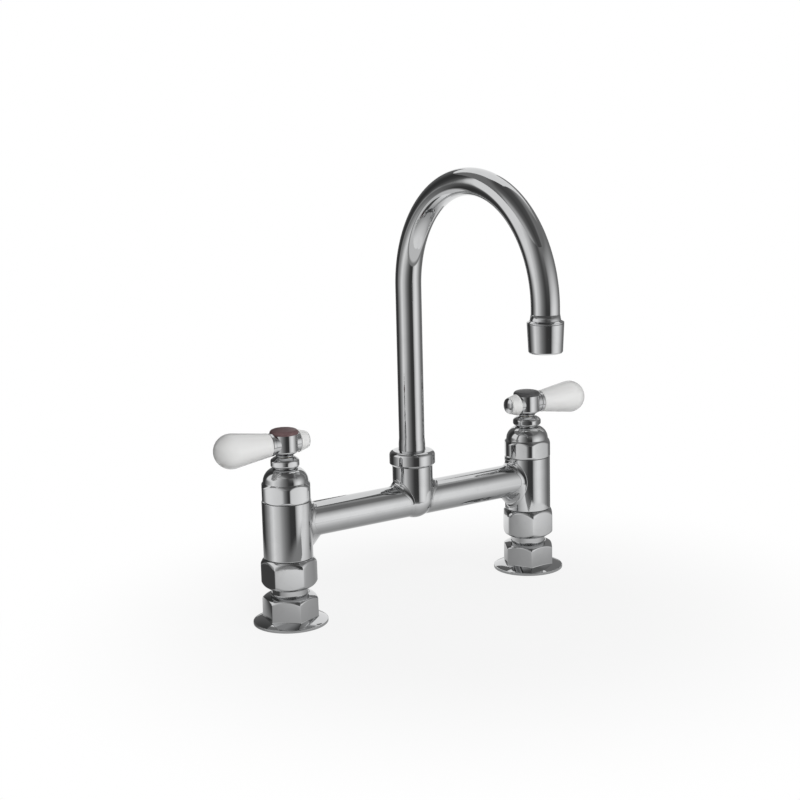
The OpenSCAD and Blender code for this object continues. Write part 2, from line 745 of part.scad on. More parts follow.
// The brass sleeve brazed round the tube's foot: grooves, retaining collar, cuff.
module spout_sleeve() {
    color(chrome) difference() {
        union() {
            bore(spout_sleeve_d, sleeve_foot_z, collar_z + 1);
            bore(collar_d, collar_z, collar_z + collar_t);
            bore(sleeve_neck_d, collar_z + 1, swivel_nut_top + sleeve_show / 2);
            translate([0, 0, swivel_nut_top + sleeve_show / 2])
                cylinder(d1 = sleeve_neck_d, d2 = tube_d + 0.1, h = sleeve_show / 2);
        }
        bore(tube_d, tube_foot_z, swivel_nut_top + sleeve_show + 1);
        bore(tube_d - 2 * tube_wall, sleeve_foot_z - 1, tube_foot_z + 1);
        for (z = seal_heights())
            ring(z - 0.7, 1.4, spout_sleeve_d + 1, spout_sleeve_d - 2);
    }
}

// Heights of the two seals, at 15% and 55% of the sleeve's length in the socket.
function seal_heights() = [for (share = [0.15, 0.55]) sleeve_foot_z + share * (collar_z - sleeve_foot_z)];

module spout_o_rings() {
    color(rubber) for (z = seal_heights())
        o_ring(z, spout_sleeve_d / 2 - 0.5, 1);
}

// A bar of round section along the gooseneck's path, for the tube and its bore.
module gooseneck(d, foot_z, end_z) {
    bore(d, foot_z, bend_z);
    translate([0, -bend_r, bend_z]) rotate([90, 0, 90]) rotate_extrude(angle = 180)
        translate([bend_r, 0]) circle(d = d);
    translate([0, -spout_reach, 0]) bore(d, end_z, bend_z);
}

module gooseneck_tube() {
    color(chrome) difference() {
        gooseneck(tube_d, tube_foot_z, tube_end_z);
        gooseneck(tube_d - 2 * tube_wall, tube_foot_z - 1, tube_end_z - 1);
    }
}

// The threaded end of the spout, with a chamfered collar above the aerator.
module outlet_ferrule() {
    collar_foot_z = outlet_z + aerator_h + 0.1;
    color(chrome) translate([0, -spout_reach, 0]) difference() {
        union() {
            bore(outlet_thread_d, ferrule_foot_z, collar_foot_z + tiny);
            bore(aerator_top_d, collar_foot_z, ferrule_top_z - 1);
            translate([0, 0, ferrule_top_z - 1]) cylinder(d1 = aerator_top_d, d2 = tube_d + 1.4, h = 1);
            translate([0, 0, ferrule_top_z]) cylinder(d1 = tube_d + 1.2, d2 = tube_d + 0.1, h = outlet_slope_h);
        }
        bore(tube_d, tube_end_z, bend_z + 1);
        bore(tube_d - 2 * tube_wall, ferrule_foot_z - 1, tube_end_z + 1);
    }
}

module aerator_housing() {
    color(chrome) translate([0, -spout_reach, outlet_z]) difference() {
        union() {
            translate([0, 0, 0.8]) cylinder(d1 = aerator_rim_d, d2 = aerator_top_d, h = aerator_h - 0.8);
            cylinder(d1 = aerator_rim_d - 1.2, d2 = aerator_rim_d, h = 0.8);
        }
        bore(insert_d - 1.4, -1, aerator_h + 1);
        bore(insert_d + 2 * screw_gap, insert_z - outlet_z, aerator_h + 1);
        bore(outlet_thread_d + 2 * screw_gap, insert_z + insert_h + screen_t - outlet_z, aerator_h + 1);
    }
}

// Places a child at each point of a hexagonal field inside radius r.
module hex_field(pitch, r) {
    rows = ceil(r / pitch);
    for (row = [-rows:rows])
        for (col = [-rows:rows]) {
            x = (col + (row % 2) / 2) * pitch;
            y = row * pitch * sin(60);
            if (norm([x, y]) < r)
                translate([x, y, 0]) children();
        }
}

// The flow straightener: a nylon cup with a field of small hexagonal ducts.
module aerator_insert() {
    plate_h = 2.4;
    color(nylon) translate([0, -spout_reach, insert_z]) difference() {
        cylinder(d = insert_d, h = insert_h);
        translate([0, 0, -1]) cylinder(d = insert_d - 3, h = insert_h - plate_h);
        hex_field(straightener_pitch, insert_d / 2 - 2)
            cylinder(d = straightener_pitch * 0.78, h = insert_h + 1, $fn = hex_sides);
    }
}

// The screen on top of the straightener.
module aerator_screen() {
    color(steel) translate([0, -spout_reach, insert_z + insert_h]) difference() {
        cylinder(d = insert_d, h = screen_t);
        hex_field(screen_pitch, insert_d / 2 - 1.6)
            translate([0, 0, -1]) cylinder(d = screen_pitch * 0.74, h = screen_t + 2, $fn = 4);
    }
}

module aerator_washer() {
    washer_z = insert_z + insert_h + screen_t;
    color(rubber) translate([0, -spout_reach, 0])
        ring(washer_z, ferrule_foot_z - washer_z, outlet_thread_d, tube_d - 2 * tube_wall);
}

at_swivel() faucet_body();
at_swivel() swivel_nut();
at_swivel() lower_glide_ring();
at_swivel() upper_glide_ring();
at_swivel() gooseneck_tube();
at_swivel() spout_sleeve();
at_swivel() spout_o_rings();
at_swivel() outlet_ferrule();
at_swivel() aerator_housing();
at_swivel() aerator_insert();
at_swivel() aerator_screen();
at_swivel() aerator_washer();
at_hot() inlet_flange(hot_inlet_turn);  // hot_inlet_flange
at_hot() union_nut(hot_nut_turn);  // hot_union_nut
at_hot() inlet_washer();  // hot_inlet_washer
at_hot() seat_seal();  // hot_seat_seal
at_hot() cartridge_sleeve();  // hot_cartridge_sleeve
at_hot() fixed_disc();  // hot_fixed_disc
at_hot() bonnet();  // hot_bonnet
at_hot() bonnet_washer();  // hot_bonnet_washer
at_hot() packing_ring();  // hot_packing_ring
at_hot() packing_gland();  // hot_packing_gland
at_hot() packing_nut(hot_packing_turn);  // hot_packing_nut
at_hot() spindle();  // hot_spindle
at_hot() moving_disc();  // hot_moving_disc
at_hot() spindle_seal();  // hot_spindle_seal
at_hot() snap_ring();  // hot_snap_ring
at_hot() handle_hub();  // hot_handle_hub
at_hot() handle_screw();  // hot_handle_screw
color(hot_red) at_hot() index_button();  // hot_index_button
at_hot() lever_stud();  // hot_lever_stud
at_hot() grip_ferrule();  // hot_grip_ferrule
at_hot() lever_grip();  // hot_lever_grip
at_hot() stub_sleeve();  // hot_stub_sleeve
at_hot() stub_cap();  // hot_stub_cap
at_cold() inlet_flange(cold_inlet_turn);  // cold_inlet_flange
at_cold() union_nut(cold_nut_turn);  // cold_union_nut
at_cold() inlet_washer();  // cold_inlet_washer
at_cold() seat_seal();  // cold_seat_seal
at_cold() cartridge_sleeve();  // cold_cartridge_sleeve
at_cold() fixed_disc();  // cold_fixed_disc
at_cold() bonnet();  // cold_bonnet
at_cold() bonnet_washer();  // cold_bonnet_washer
at_cold() packing_ring();  // cold_packing_ring
at_cold() packing_gland();  // cold_packing_gland
at_cold() packing_nut(cold_packing_turn);  // cold_packing_nut
at_cold() spindle();  // cold_spindle
at_cold() moving_disc();  // cold_moving_disc
at_cold() spindle_seal();  // cold_spindle_seal
at_cold() snap_ring();  // cold_snap_ring
at_cold() handle_hub();  // cold_handle_hub
at_cold() handle_screw();  // cold_handle_screw
color(cold_grey) at_cold() index_button();  // cold_index_button
at_cold() lever_stud();  // cold_lever_stud
at_cold() grip_ferrule();  // cold_grip_ferrule
at_cold() lever_grip();  // cold_lever_grip
at_cold() stub_sleeve();  // cold_stub_sleeve
at_cold() stub_cap();  // cold_stub_cap
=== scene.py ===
"""Dresses the packed bridge faucet for the render.

Each chrome or ceramic piece is a surface worked out with numpy, with the edges that
turning, casting and polishing leave. The pieces inside stay the frame's own, with
procedural materials. Lengths in the profiles are millimetres, and become metres
when a mesh is made.
"""

import json
import math

import bpy
import numpy as np
from bpy.props import FloatProperty, FloatVectorProperty, PointerProperty
from bpy.types import Operator, Panel, PropertyGroup
from mathutils import Matrix, Vector


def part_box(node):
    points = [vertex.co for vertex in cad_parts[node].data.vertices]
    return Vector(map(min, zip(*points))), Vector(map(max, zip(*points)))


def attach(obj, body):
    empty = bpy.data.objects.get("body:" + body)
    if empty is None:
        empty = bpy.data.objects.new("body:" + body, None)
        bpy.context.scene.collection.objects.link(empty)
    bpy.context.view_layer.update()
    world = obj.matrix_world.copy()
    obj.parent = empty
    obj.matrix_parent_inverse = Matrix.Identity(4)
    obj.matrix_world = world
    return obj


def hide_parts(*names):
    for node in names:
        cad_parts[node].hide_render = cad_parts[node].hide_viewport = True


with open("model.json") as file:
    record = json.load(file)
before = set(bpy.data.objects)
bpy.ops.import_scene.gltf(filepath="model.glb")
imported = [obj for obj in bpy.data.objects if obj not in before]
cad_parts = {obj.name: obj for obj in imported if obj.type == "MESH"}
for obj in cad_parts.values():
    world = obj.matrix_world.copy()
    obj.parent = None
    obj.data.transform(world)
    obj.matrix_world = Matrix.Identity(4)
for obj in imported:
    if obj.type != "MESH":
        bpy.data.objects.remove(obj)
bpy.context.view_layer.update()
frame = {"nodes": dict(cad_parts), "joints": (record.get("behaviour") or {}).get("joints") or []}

bl_info = {
    "name": "Bridge Faucet",
    "version": (1, 0, 0),
    "blender": (4, 5, 0),
    "location": "3D View > Sidebar > Faucet",
    "description": "Builds the visible pieces, materials and studio of a bridge faucet",
    "category": "Object",
}

MM = 0.001
TAU = 2 * math.pi
SIXTH = math.pi / 3

JOINTS = {joint["name"]: joint for joint in frame["joints"]}
AXIS_Y = JOINTS["spout_swivel"]["pos_m"][1] / MM
TOWERS = {"hot": -1, "cold": 1}
WATERWAY_R = 7.5


def box_mm(node):
    """Lowest and highest corner of a CAD node, in millimetres."""
    low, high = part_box(node)
    return [v / MM for v in low], [v / MM for v in high]


def heights(node):
    """Lowest and highest point of a CAD node above the deck."""
    low, high = box_mm(node)
    return low[2], high[2]


def tower_x(side):
    return JOINTS[f"{side}_handle_turn"]["pos_m"][0] / MM


# ---- settings


def length(name, description, default, low, high):
    return FloatProperty(
        name=name, description=description, unit="LENGTH",
        default=default * MM, min=low * MM, max=high * MM,
    )  # fmt: skip


def level(name, description, default, high, subtype="NONE"):
    return FloatProperty(
        name=name, description=description, subtype=subtype,
        default=default, min=0, max=high,
    )  # fmt: skip


def colour(name, description, value):
    return FloatVectorProperty(
        name=name, description=description, subtype="COLOR",
        default=value, size=3, min=0, max=1,
    )  # fmt: skip


class FaucetSizes(PropertyGroup):
    """Sizes of what the finish adds to the CAD pieces."""

    edge: length("Broken edge", "Small round on turned edges", 0.35, 0.05, 0.8)
    hex_corner: length("Hexagon corner", "Radius between the flats", 0.55, 0.1, 2)
    crown_blend: length("Crown blend", "Soft edge from flat to crown", 0.5, 0.05, 2)
    barrel_fillet: length("Barrel fillet below", "Cast fillet at a barrel", 9, 2, 10)
    barrel_fillet_top: length("Barrel fillet above", "The same, above", 4.4, 1, 4.5)
    boss_fillet: length("Boss fillet", "Cast fillet at the spout boss", 5, 2, 7)


def finish_size(name):
    """One of the sizes that the finish adds, in millimetres."""
    return getattr(bpy.context.scene.faucet_sizes, name) / MM


class FaucetFinishes(PropertyGroup):
    """Colours of the finishes, linear."""

    chrome: colour("Chrome", "Bright chrome plate", (0.595, 0.60, 0.605))
    glaze: colour("White glaze", "Glazed white ceramic", (0.76, 0.76, 0.745))
    hot: colour("Hot index", "Dull dark red of the hot button", (0.150, 0.092, 0.094))
    cold: colour("Cold index", "Dark grey of the cold button", (0.080, 0.080, 0.082))
    brass: colour("Brass", "Machined brass", (0.62, 0.47, 0.20))
    rubber: colour("Rubber", "Black sealing rubber", (0.018, 0.018, 0.019))
    nylon: colour("Nylon", "Natural white nylon", (0.78, 0.77, 0.70))
    steel: colour("Steel", "Bright stainless steel", (0.56, 0.57, 0.58))
    alumina: colour("Disc ceramic", "Lapped alumina", (0.83, 0.80, 0.74))


class FaucetStudio(PropertyGroup):
    """Levels of the studio light."""

    ambient: level("Ambient light", "Strength of the even light on the object", 0.20, 2)
    key: level("Key light", "Power of the large lamp over the camera", 10.5, 60, "POWER")
    fill: level("Fill light", "Power of the lamp on the right", 6, 60, "POWER")


# ---- surfaces


def swung(a, b, angle, share):
    """Points between two directions: spherical interpolation over their angle."""
    first = np.sin((1 - share) * angle) / np.sin(angle)
    last = np.sin(share * angle) / np.sin(angle)
    return first[..., None] * a + last[..., None] * b


def rounded(points, radii, arc_steps=6, hold=0.12):
    """A profile whose corners become arcs.

    points is (..., m, 2) and radii has one radius for each corner. An arc touches
    both its sides at the radius over the tangent of half the corner's angle, and is
    spread between those two points by spherical interpolation about its centre. One
    more point on each side holds the flat next to it straight in the shading.
    """
    points = np.asarray(points, float)
    radii = np.asarray(radii, float)
    back_and_ahead = 1, -1
    sides = np.stack([np.roll(points, step, -2) - points for step in back_and_ahead])
    lengths = np.maximum(np.linalg.norm(sides, axis=-1), 1e-9)
    ways = sides / lengths[..., None]
    half = np.arccos(np.clip((ways[0] * ways[1]).sum(-1), -0.99999, 0.99999)) / 2
    reach = np.minimum(radii / np.tan(half), 0.48 * lengths.min(axis=0))
    taken = np.stack([np.roll(reach, step, -1) for step in back_and_ahead])
    holds = np.minimum(hold, 0.3 * np.maximum(lengths - reach - taken, 0))
    held = ways * holds[..., None]
    middle = ways[0] + ways[1]
    middle /= np.maximum(np.linalg.norm(middle, axis=-1), 1e-9)[..., None]
    centre = points + middle * (reach / np.cos(half))[..., None]
    start, end = points + ways * reach[..., None] - centre
    turn = np.maximum(math.pi - 2 * half, 1e-6)[..., None]
    share = np.linspace(0, 1, arc_steps + 1)
    parts = []
    for corner in range(points.shape[-2]):
        if radii[corner] <= 0:
            parts.append(points[..., corner : corner + 1, :])
            continue
        at = (..., corner, None, slice(None))
        arc = centre[at] + swung(start[at], end[at], turn[..., corner, :], share)
        first, last = arc[..., :1, :] + held[0][at], arc[..., -1:, :] + held[1][at]
        parts.append(np.concatenate([first, arc, last], axis=-2))
    return np.concatenate(parts, axis=-2)


def steps(*sizes):
    """Profile corners of a stepped outline: radius, height, radius, height and so on."""
    pairs = enumerate(zip(sizes, sizes[1:]))
    return [(b, a) if number % 2 else (a, b) for number, (a, b) in pairs]


def arc_points(r, z, radius, angles):
    """Profile points on an arc about (r, z), at angles counted up from level."""
    return np.stack([r + radius * np.cos(angles), z + radius * np.sin(angles)], axis=-1)


def dome_points(tip, radius, angles):
    """Profile points on a ball's cap under its tip, at angles counted from the axis."""
    return arc_points(0, tip - radius, radius, math.pi / 2 - angles)


def skin(points, poles=False):
    """Vertices and faces of a grid that closes on itself along its first parameter.

    Along the second it closes too, or with poles its first and last column are one
    point each. The faces are turned so that the volume they enclose is positive.
    """
    n, m, _ = points.shape
    index = np.arange(n * m).reshape(n, m)
    if poles:
        index[:, 0], index[:, -1] = index[0, 0], index[0, -1]
    else:
        index = np.concatenate([index, index[:, :1]], axis=1)
    beside = np.roll(index, -1, axis=0)
    quads = np.stack([index[:, :-1], beside[:, :-1], beside[:, 1:], index[:, 1:]], -1)
    ends = np.zeros((0, 3), int)
    if poles:
        ends = np.concatenate([quads[:, 0][:, [0, 2, 3]], quads[:, -1][:, [0, 1, 2]]])
        quads = quads[:, 1:-1]
    corners = np.concatenate([quads.ravel(), ends.ravel()])
    used, packed = np.unique(corners, return_inverse=True)
    vertices = points.reshape(-1, 3)[used]
    ends = packed[quads.size :].reshape(-1, 3)
    quads = packed[: quads.size].reshape(-1, 4)
    triangles = np.concatenate([quads[:, :3], quads[:, [0, 2, 3]], ends])
    a, b, c = (vertices[triangles[:, k]] for k in range(3))
    if (a * np.cross(b, c)).sum() < 0:
        quads, ends = quads[:, ::-1], ends[:, ::-1]
    return vertices, [quads, ends]


def turned(profile, theta=None, poles=False):
    """A profile of radius and height carried round the Z axis: x = r cos t, y = r sin t.

    The profile is (m, 2), or (n, m, 2) where it changes with the angle.
    """
    theta = np.linspace(0, TAU, 128, endpoint=False) if theta is None else theta
    profile = np.broadcast_to(profile, (len(theta),) + np.shape(profile)[-2:])
    r, z = profile[..., 0], profile[..., 1]
    cos, sin = np.cos(theta)[:, None], np.sin(theta)[:, None]
    return skin(np.stack([r * cos, r * sin, z], axis=-1), poles)


def moved(surface, x, y, z=0.0):
    """A surface shifted along the axes."""
    vertices, faces = surface
    return vertices + np.array([x, y, z], float), faces


def at_tower(surface, side, z=0.0):
    return moved(surface, tower_x(side), AXIS_Y, z)


def laid_down(surface, side, height):
    """A turned surface laid along X, outwards for side 1 and inwards for side -1."""
    vertices, faces = surface
    x, y, z = vertices.T
    lying = np.stack([side * z, y * side, x + 0 * z], axis=-1)
    return lying + [0, 0, height], faces


def mirrored(surface):
    """A surface mirrored across the plane of X = 0."""
    points, faces = surface
    return points * [-1, 1, 1], [group[:, ::-1] for group in faces]


def make_piece(
    name, surfaces, nodes, body="body", slot="chrome_plate", material="turned_chrome"
):
    """One object from surfaces in millimetres, on its body and in place of its nodes."""
    offset, vertices, faces = 0, [], []
    for points, groups in surfaces:
        vertices.append(points)
        for group in groups:
            faces += (group + offset).tolist()
        offset += len(points)
    mesh = bpy.data.meshes.new(name)
    mesh.from_pydata(np.concatenate(vertices) * MM, [], faces)
    mesh.polygons.foreach_set("use_smooth", np.ones(len(mesh.polygons), bool))
    mesh.materials.append(bpy.data.materials[material])
    mesh.validate()
    mesh.update()
    piece = bpy.data.objects.new(name, mesh)
    bpy.context.scene.collection.objects.link(piece)
    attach(piece, body)
    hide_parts(*nodes)


# ---- hexagons

CROWN_ROWS, FLAT_ROWS = 22, 3


def soft_min(a, b, width):
    """The smaller of two values, with a parabola over the width where they cross."""
    share = np.clip(0.5 + 0.5 * (b - a) / width, 0, 1)
    return b + (a - b) * share - width * share * (1 - share)


def hex_radius(theta, flats, corner, bulge):
    """Distance from the axis to a hexagon with rounded upright edges.

    Each side is an arc of the bulge's radius that touches the flats' width at its
    middle, and the distance is the soft minimum of the two nearest sides'.
    """
    inset = flats / 2 - bulge
    off = np.abs((theta + SIXTH / 2) % SIXTH - SIXTH / 2)

    def side(angle):
        return inset * np.cos(angle) + np.sqrt(bulge**2 - (inset * np.sin(angle)) ** 2)

    return soft_min(side(SIXTH / 2 - off), side(SIXTH / 2 + off), 0.6 * corner)


def hex_angles(flats, corner):
    """Angles round a hexagon, close together at its six edges."""
    limit = min(0.9 * corner / flats * 2, 0.42)
    near = np.linspace(-limit, limit, 13)
    between = np.linspace(limit, SIXTH - limit, 14)[1:-1]
    sector = np.concatenate([near, between])
    return (sector[None, :] + SIXTH * np.arange(6)[:, None]).ravel()


def crown(height, span, inner, outer, power):
    """Radius of a turned crown: from inner at its end to outer at its span."""
    share = np.clip(height / span, 0, 1)
    return inner + (outer - inner) * (1 - (1 - share) ** power)


def hexagon(flats, corner, bulge, low, high, foot, top):
    """Angles round a hexagon, its distance from the axis and its side's profile there.

    The side lies between two turned crowns. foot and top are (radius at the end,
    height of the crown, power), and the radius is the soft minimum of the hexagon's
    and both crowns'.
    """
    theta = hex_angles(flats, corner)
    outline = hex_radius(theta, flats, corner, bulge)
    widest = outline.max() + 0.05
    foot_end, top_start = low + foot[1], high - top[1]
    z = np.concatenate(
        [
            np.linspace(low, foot_end, CROWN_ROWS),
            np.linspace(foot_end, top_start, FLAT_ROWS + 2)[1:-1],
            np.linspace(top_start, high, CROWN_ROWS),
        ]
    )
    limit = np.minimum(
        crown(z - low, foot[1], foot[0], widest, foot[2]),
        crown(high - z, top[1], top[0], widest, top[2]),
    )
    r = soft_min(outline[:, None], limit[None, :], finish_size("crown_blend"))
    return theta, outline, np.stack([r, np.broadcast_to(z, r.shape)], axis=-1)


def with_corners(before, side, after, radii_before, radii_after, radii_side=()):
    """A closed profile: fixed corners before and after a side that follows the angle."""

    def spread(corners):
        corners = np.asarray(corners, float)
        return np.broadcast_to(corners, (len(side),) + corners.shape)

    plain = [0] * (side.shape[1] - len(radii_side))
    points = np.concatenate([spread(before), side, spread(after)], axis=1)
    return rounded(points, [*radii_before, *radii_side, *plain, *radii_after])


# ---- materials

WEAR_INPUTS = (
    "Wave Scale", "Wave Height", "Mark Scale", "Mark Height",
    "Roughness", "Roughness Spread", "Spot Scale",
)  # fmt: skip


def add_node(tree, kind, inputs, **settings):
    """A node with its settings made, and each input given a value or a link."""
    node = tree.nodes.new(kind)
    for name, value in settings.items():
        setattr(node, name, value)
    for name, value in inputs.items():
        if isinstance(value, bpy.types.NodeSocket):
            tree.links.new(value, node.inputs[name])
        else:
            node.inputs[name].default_value = value
    return node


def add_math(tree, operation, a, b, clamp=False):
    """A Math node on two links or numbers."""
    settings = {"operation": operation, "use_clamp": clamp}
    return add_node(tree, "ShaderNodeMath", {0: a, 1: b}, **settings).outputs[0]


def product(tree, a, b):
    return add_math(tree, "MULTIPLY", a, b)


def add_noise(tree, vector, scale, detail, roughness, distortion=0.0):
    inputs = {"Vector": vector, "Scale": scale, "Detail": detail}
    inputs |= {"Roughness": roughness, "Distortion": distortion}
    return add_node(tree, "ShaderNodeTexNoise", inputs).outputs["Fac"]


def map_range(tree, value, low, high, to_low=0.0, to_high=1.0, kind="SMOOTHSTEP"):
    """The value's place between low and high, from to_low to to_high."""
    inputs = {"Value": value, "From Min": low, "From Max": high}
    inputs |= {"To Min": to_low, "To Max": to_high}
    node = add_node(tree, "ShaderNodeMapRange", inputs, interpolation_type=kind)
    return node.outputs["Result"]


def mix_colours(tree, factor, a, b):
    """Colour a where the factor is nought and colour b where it is one."""
    inputs = {"Factor": factor, "A": a, "B": b}
    return add_node(tree, "ShaderNodeMix", inputs, data_type="RGBA").outputs["Result"]


def object_place(tree):
    return tree.nodes.new("ShaderNodeTexCoord").outputs["Object"]


def new_material(name):
    """A material, its tree and its Principled shader's inputs."""
    material = bpy.data.materials.new(name)
    material.use_nodes = True
    tree = material.node_tree
    return material, tree, tree.nodes["Principled BSDF"].inputs


def wear_group():
    """The shared surface effect: a wavy height, fine marks in it, and a patchy roughness.

    Waves are the long ripple of buffing or firing, marks the fine grain, and spots
    the dried water and handling that dull a glossy surface a little.
    """
    name = "Surface Wear"
    if name in bpy.data.node_groups:
        return bpy.data.node_groups[name]
    group = bpy.data.node_groups.new(name, "ShaderNodeTree")
    add_socket = group.interface.new_socket
    for label in WEAR_INPUTS:
        add_socket(name=label, in_out="INPUT", socket_type="NodeSocketFloat")
    add_socket(name="Vector", in_out="INPUT", socket_type="NodeSocketVector")
    for label in ("Height", "Roughness", "Shade"):
        add_socket(name=label, in_out="OUTPUT", socket_type="NodeSocketFloat")
    get = group.nodes.new("NodeGroupInput").outputs
    wave = add_noise(group, get["Vector"], get["Wave Scale"], 1.0, 0.4)
    mark = add_noise(group, get["Vector"], get["Mark Scale"], 3.0, 0.6)
    spots = add_noise(group, get["Vector"], get["Spot Scale"], 3.0, 0.65, 0.6)
    waves = product(group, wave, get["Wave Height"])
    marks = product(group, mark, get["Mark Height"])
    dull = map_range(group, spots, 0.48, 0.72, kind="LINEAR")
    rougher = product(group, dull, get["Roughness Spread"])
    outputs = {
        "Height": add_math(group, "ADD", waves, marks),
        "Roughness": add_math(group, "ADD", get["Roughness"], rougher, clamp=True),
        "Shade": dull,
    }
    add_node(group, "NodeGroupOutput", outputs)
    return group


def scaled(tint, factor):
    """A lighter or darker colour, with alpha one."""
    return (*(min(1.0, channel * factor) for channel in tint), 1)


def make_finish(
    name, tint, dulled, metallic, wave, mark, rough, spot_scale, bump,
    stretch=(1, 1, 1), coat=0.0, ior=1.5, rim=None,
):  # fmt: skip
    """A Principled material whose height, roughness and colour vary over the surface.

    dulled is the colour's factor where the surface is dulled, wave and mark are
    (scale, height), rough is (least, spread), bump is (strength, distance in
    millimetres), stretch scales the pattern along the axes, and rim is the colour's
    factor where the surface turns away from the eye, a painted shade along the outline.
    """
    _, tree, shader = new_material(name)
    shader["Metallic"].default_value = metallic
    shader["IOR"].default_value = ior
    shader["Coat Weight"].default_value = coat
    shader["Coat Roughness"].default_value = 0.04
    inputs = {"Vector": object_place(tree), "Scale": stretch}
    pattern = add_node(tree, "ShaderNodeMapping", inputs)
    inputs = dict(zip(WEAR_INPUTS, (*wave, *mark, *rough, spot_scale)))
    inputs["Vector"] = pattern.outputs["Vector"]
    wear = add_node(tree, "ShaderNodeGroup", inputs, node_tree=wear_group()).outputs
    base = mix_colours(tree, wear["Shade"], scaled(tint, 1), scaled(tint, dulled))
    # Painted shade: the colour darkens to the rim factor on edges that turn away from the eye.
    if rim:
        facing = add_node(tree, "ShaderNodeLayerWeight", {"Blend": 0.5}).outputs["Facing"]
        away = map_range(tree, facing, 0.40, 0.92)
        base = mix_colours(tree, away, base, scaled(tint, rim))
    tree.links.new(base, shader["Base Color"])
    tree.links.new(wear["Roughness"], shader["Roughness"])
    inputs = {"Strength": bump[0], "Distance": bump[1] * MM, "Height": wear["Height"]}
    relief = add_node(tree, "ShaderNodeBump", inputs)
    tree.links.new(relief.outputs["Normal"], shader["Normal"])


# Each finish: its colour setting, make_finish's values in order, and what it names.
FINISHES = {
    "cast_chrome": (
        "chrome", 0.94, 1, (42, 1), (1400, 0.010), (0.035, 0.05), 70, (0.30, 0.34), {},
    ),
    "turned_chrome": (
        "chrome", 0.95, 1, (70, 1), (1600, 0.012), (0.03, 0.045), 110, (0.25, 0.12), {},
    ),
    "tube_chrome": (
        "chrome", 0.95, 1, (55, 1), (1500, 0.010), (0.03, 0.045), 80, (0.30, 0.22),
        {"stretch": (1.6, 1, 0.6)},
    ),
    # The glaze's rim factor paints shade on its edges that turn away from the eye.
    "white_glaze": (
        "glaze", 0.965, 0, (120, 1), (700, 0.05), (0.09, 0.07), 60, (0.20, 0.10),
        {"coat": 0.25, "ior": 1.35, "rim": 0.22},
    ),
    "hot_enamel": (
        "hot", 1.35, 0, (140, 1), (2200, 0.08), (0.42, 0.10), 220, (0.20, 0.10),
        {"ior": 1.35},
    ),
    "machined_brass": (
        "brass", 0.72, 1, (90, 0.2), (1400, 0.5), (0.22, 0.14), 240, (0.35, 0.08),
        {"stretch": (1, 1, 6)},
    ),
    "sealing_rubber": (
        "rubber", 1.8, 0, (200, 0.4), (2600, 0.6), (0.55, 0.2), 420, (0.5, 0.08), {},
    ),
    "natural_nylon": (
        "nylon", 0.9, 0, (150, 0.5), (1800, 0.4), (0.38, 0.12), 300, (0.3, 0.06), {},
    ),
    "bright_steel": (
        "steel", 0.8, 1, (120, 0.3), (1800, 0.5), (0.24, 0.1), 260, (0.3, 0.05),
        {"stretch": (1, 5, 1)},
    ),
    "lapped_ceramic": (
        "alumina", 0.93, 0, (160, 0.2), (2400, 0.3), (0.16, 0.08), 300, (0.2, 0.04), {},
    ),
}  # fmt: skip
FINISHES["cold_enamel"] = ("cold", *FINISHES["hot_enamel"][1:])
FINISH_OF_SLOT = {
    "chrome_plate": "turned_chrome",
    "bare_brass": "machined_brass",
    "seal_rubber": "sealing_rubber",
    "nylon": "natural_nylon",
    "stainless": "bright_steel",
    "disc_ceramic": "lapped_ceramic",
    "white_glaze": "white_glaze",
    "hot_index": "hot_enamel",
    "cold_index": "cold_enamel",
}


class FAUCET_OT_finishes(Operator):
    """Make the procedural materials and put them on every CAD piece"""

    bl_idname = "faucet.finishes"
    bl_label = "Finishes"

    def execute(self, context):
        tints = context.scene.faucet_finishes
        for name, (setting, *values, more) in FINISHES.items():
            make_finish(name, getattr(tints, setting), *values, **more)
        for node in frame["nodes"].values():
            for place in node.material_slots:
                slot = place.material.name.split(".")[0]
                place.material = bpy.data.materials[FINISH_OF_SLOT[slot]]
        return {"FINISHED"}


# ---- chrome pieces


def fillet_ring(post_r, tube_r, ball, swell_r=1.0, swell_z=-math.inf):
    """The concave skin that a rolling ball leaves between a tube along X and a post on Z.

    For each angle round the tube the ball's centre stands a ball's radius off both
    surfaces: off the tube along its own radius, and off the post at the distance
    that its outline, a cylinder above swell_z and a round swell below, gives there.
    The skin is the arc between the two points of touch. Two more rows inside the
    metal close it. Heights are over the tube's axis, and ball is (radius below,
    radius above).
    """
    angle = np.linspace(0, TAU, 192, endpoint=False)
    radius = ball[0] + (ball[1] - ball[0]) * (0.5 + 0.5 * np.sin(angle))
    y = (tube_r + radius) * np.cos(angle)
    z = (tube_r + radius) * np.sin(angle)
    drop = np.minimum(z - swell_z, 0)
    flat = np.sqrt(np.maximum((swell_r + radius) ** 2 - drop**2, 0))
    reach = post_r - swell_r + flat
    toward = np.stack([flat, drop], axis=-1) / (swell_r + radius)[:, None]
    x = np.sqrt(np.maximum(reach**2 - y**2, 0))
    centre = np.stack([x, y, z], axis=-1)
    off_tube = np.stack([0 * angle, np.cos(angle), np.sin(angle)], axis=-1)
    flat_way = np.stack([x, y], axis=-1) / reach[:, None]
    off_post = np.concatenate([flat_way * toward[:, :1], toward[:, 1:]], axis=-1)
    between = np.arccos(np.clip((off_tube * off_post).sum(-1), -1, 1))
    between = np.maximum(between, 1e-4)[:, None]
    share = np.linspace(0, 1, 14)
    way = swung(off_tube[:, None], off_post[:, None], between, share)
    rows = centre[:, None] - radius[:, None, None] * way
    depth = 1.0
    in_post = rows[:, -1:] - depth * off_post[:, None]
    in_tube = rows[:, :1] - depth * off_tube[:, None]
    return skin(np.concatenate([rows, in_post, in_tube], axis=1))


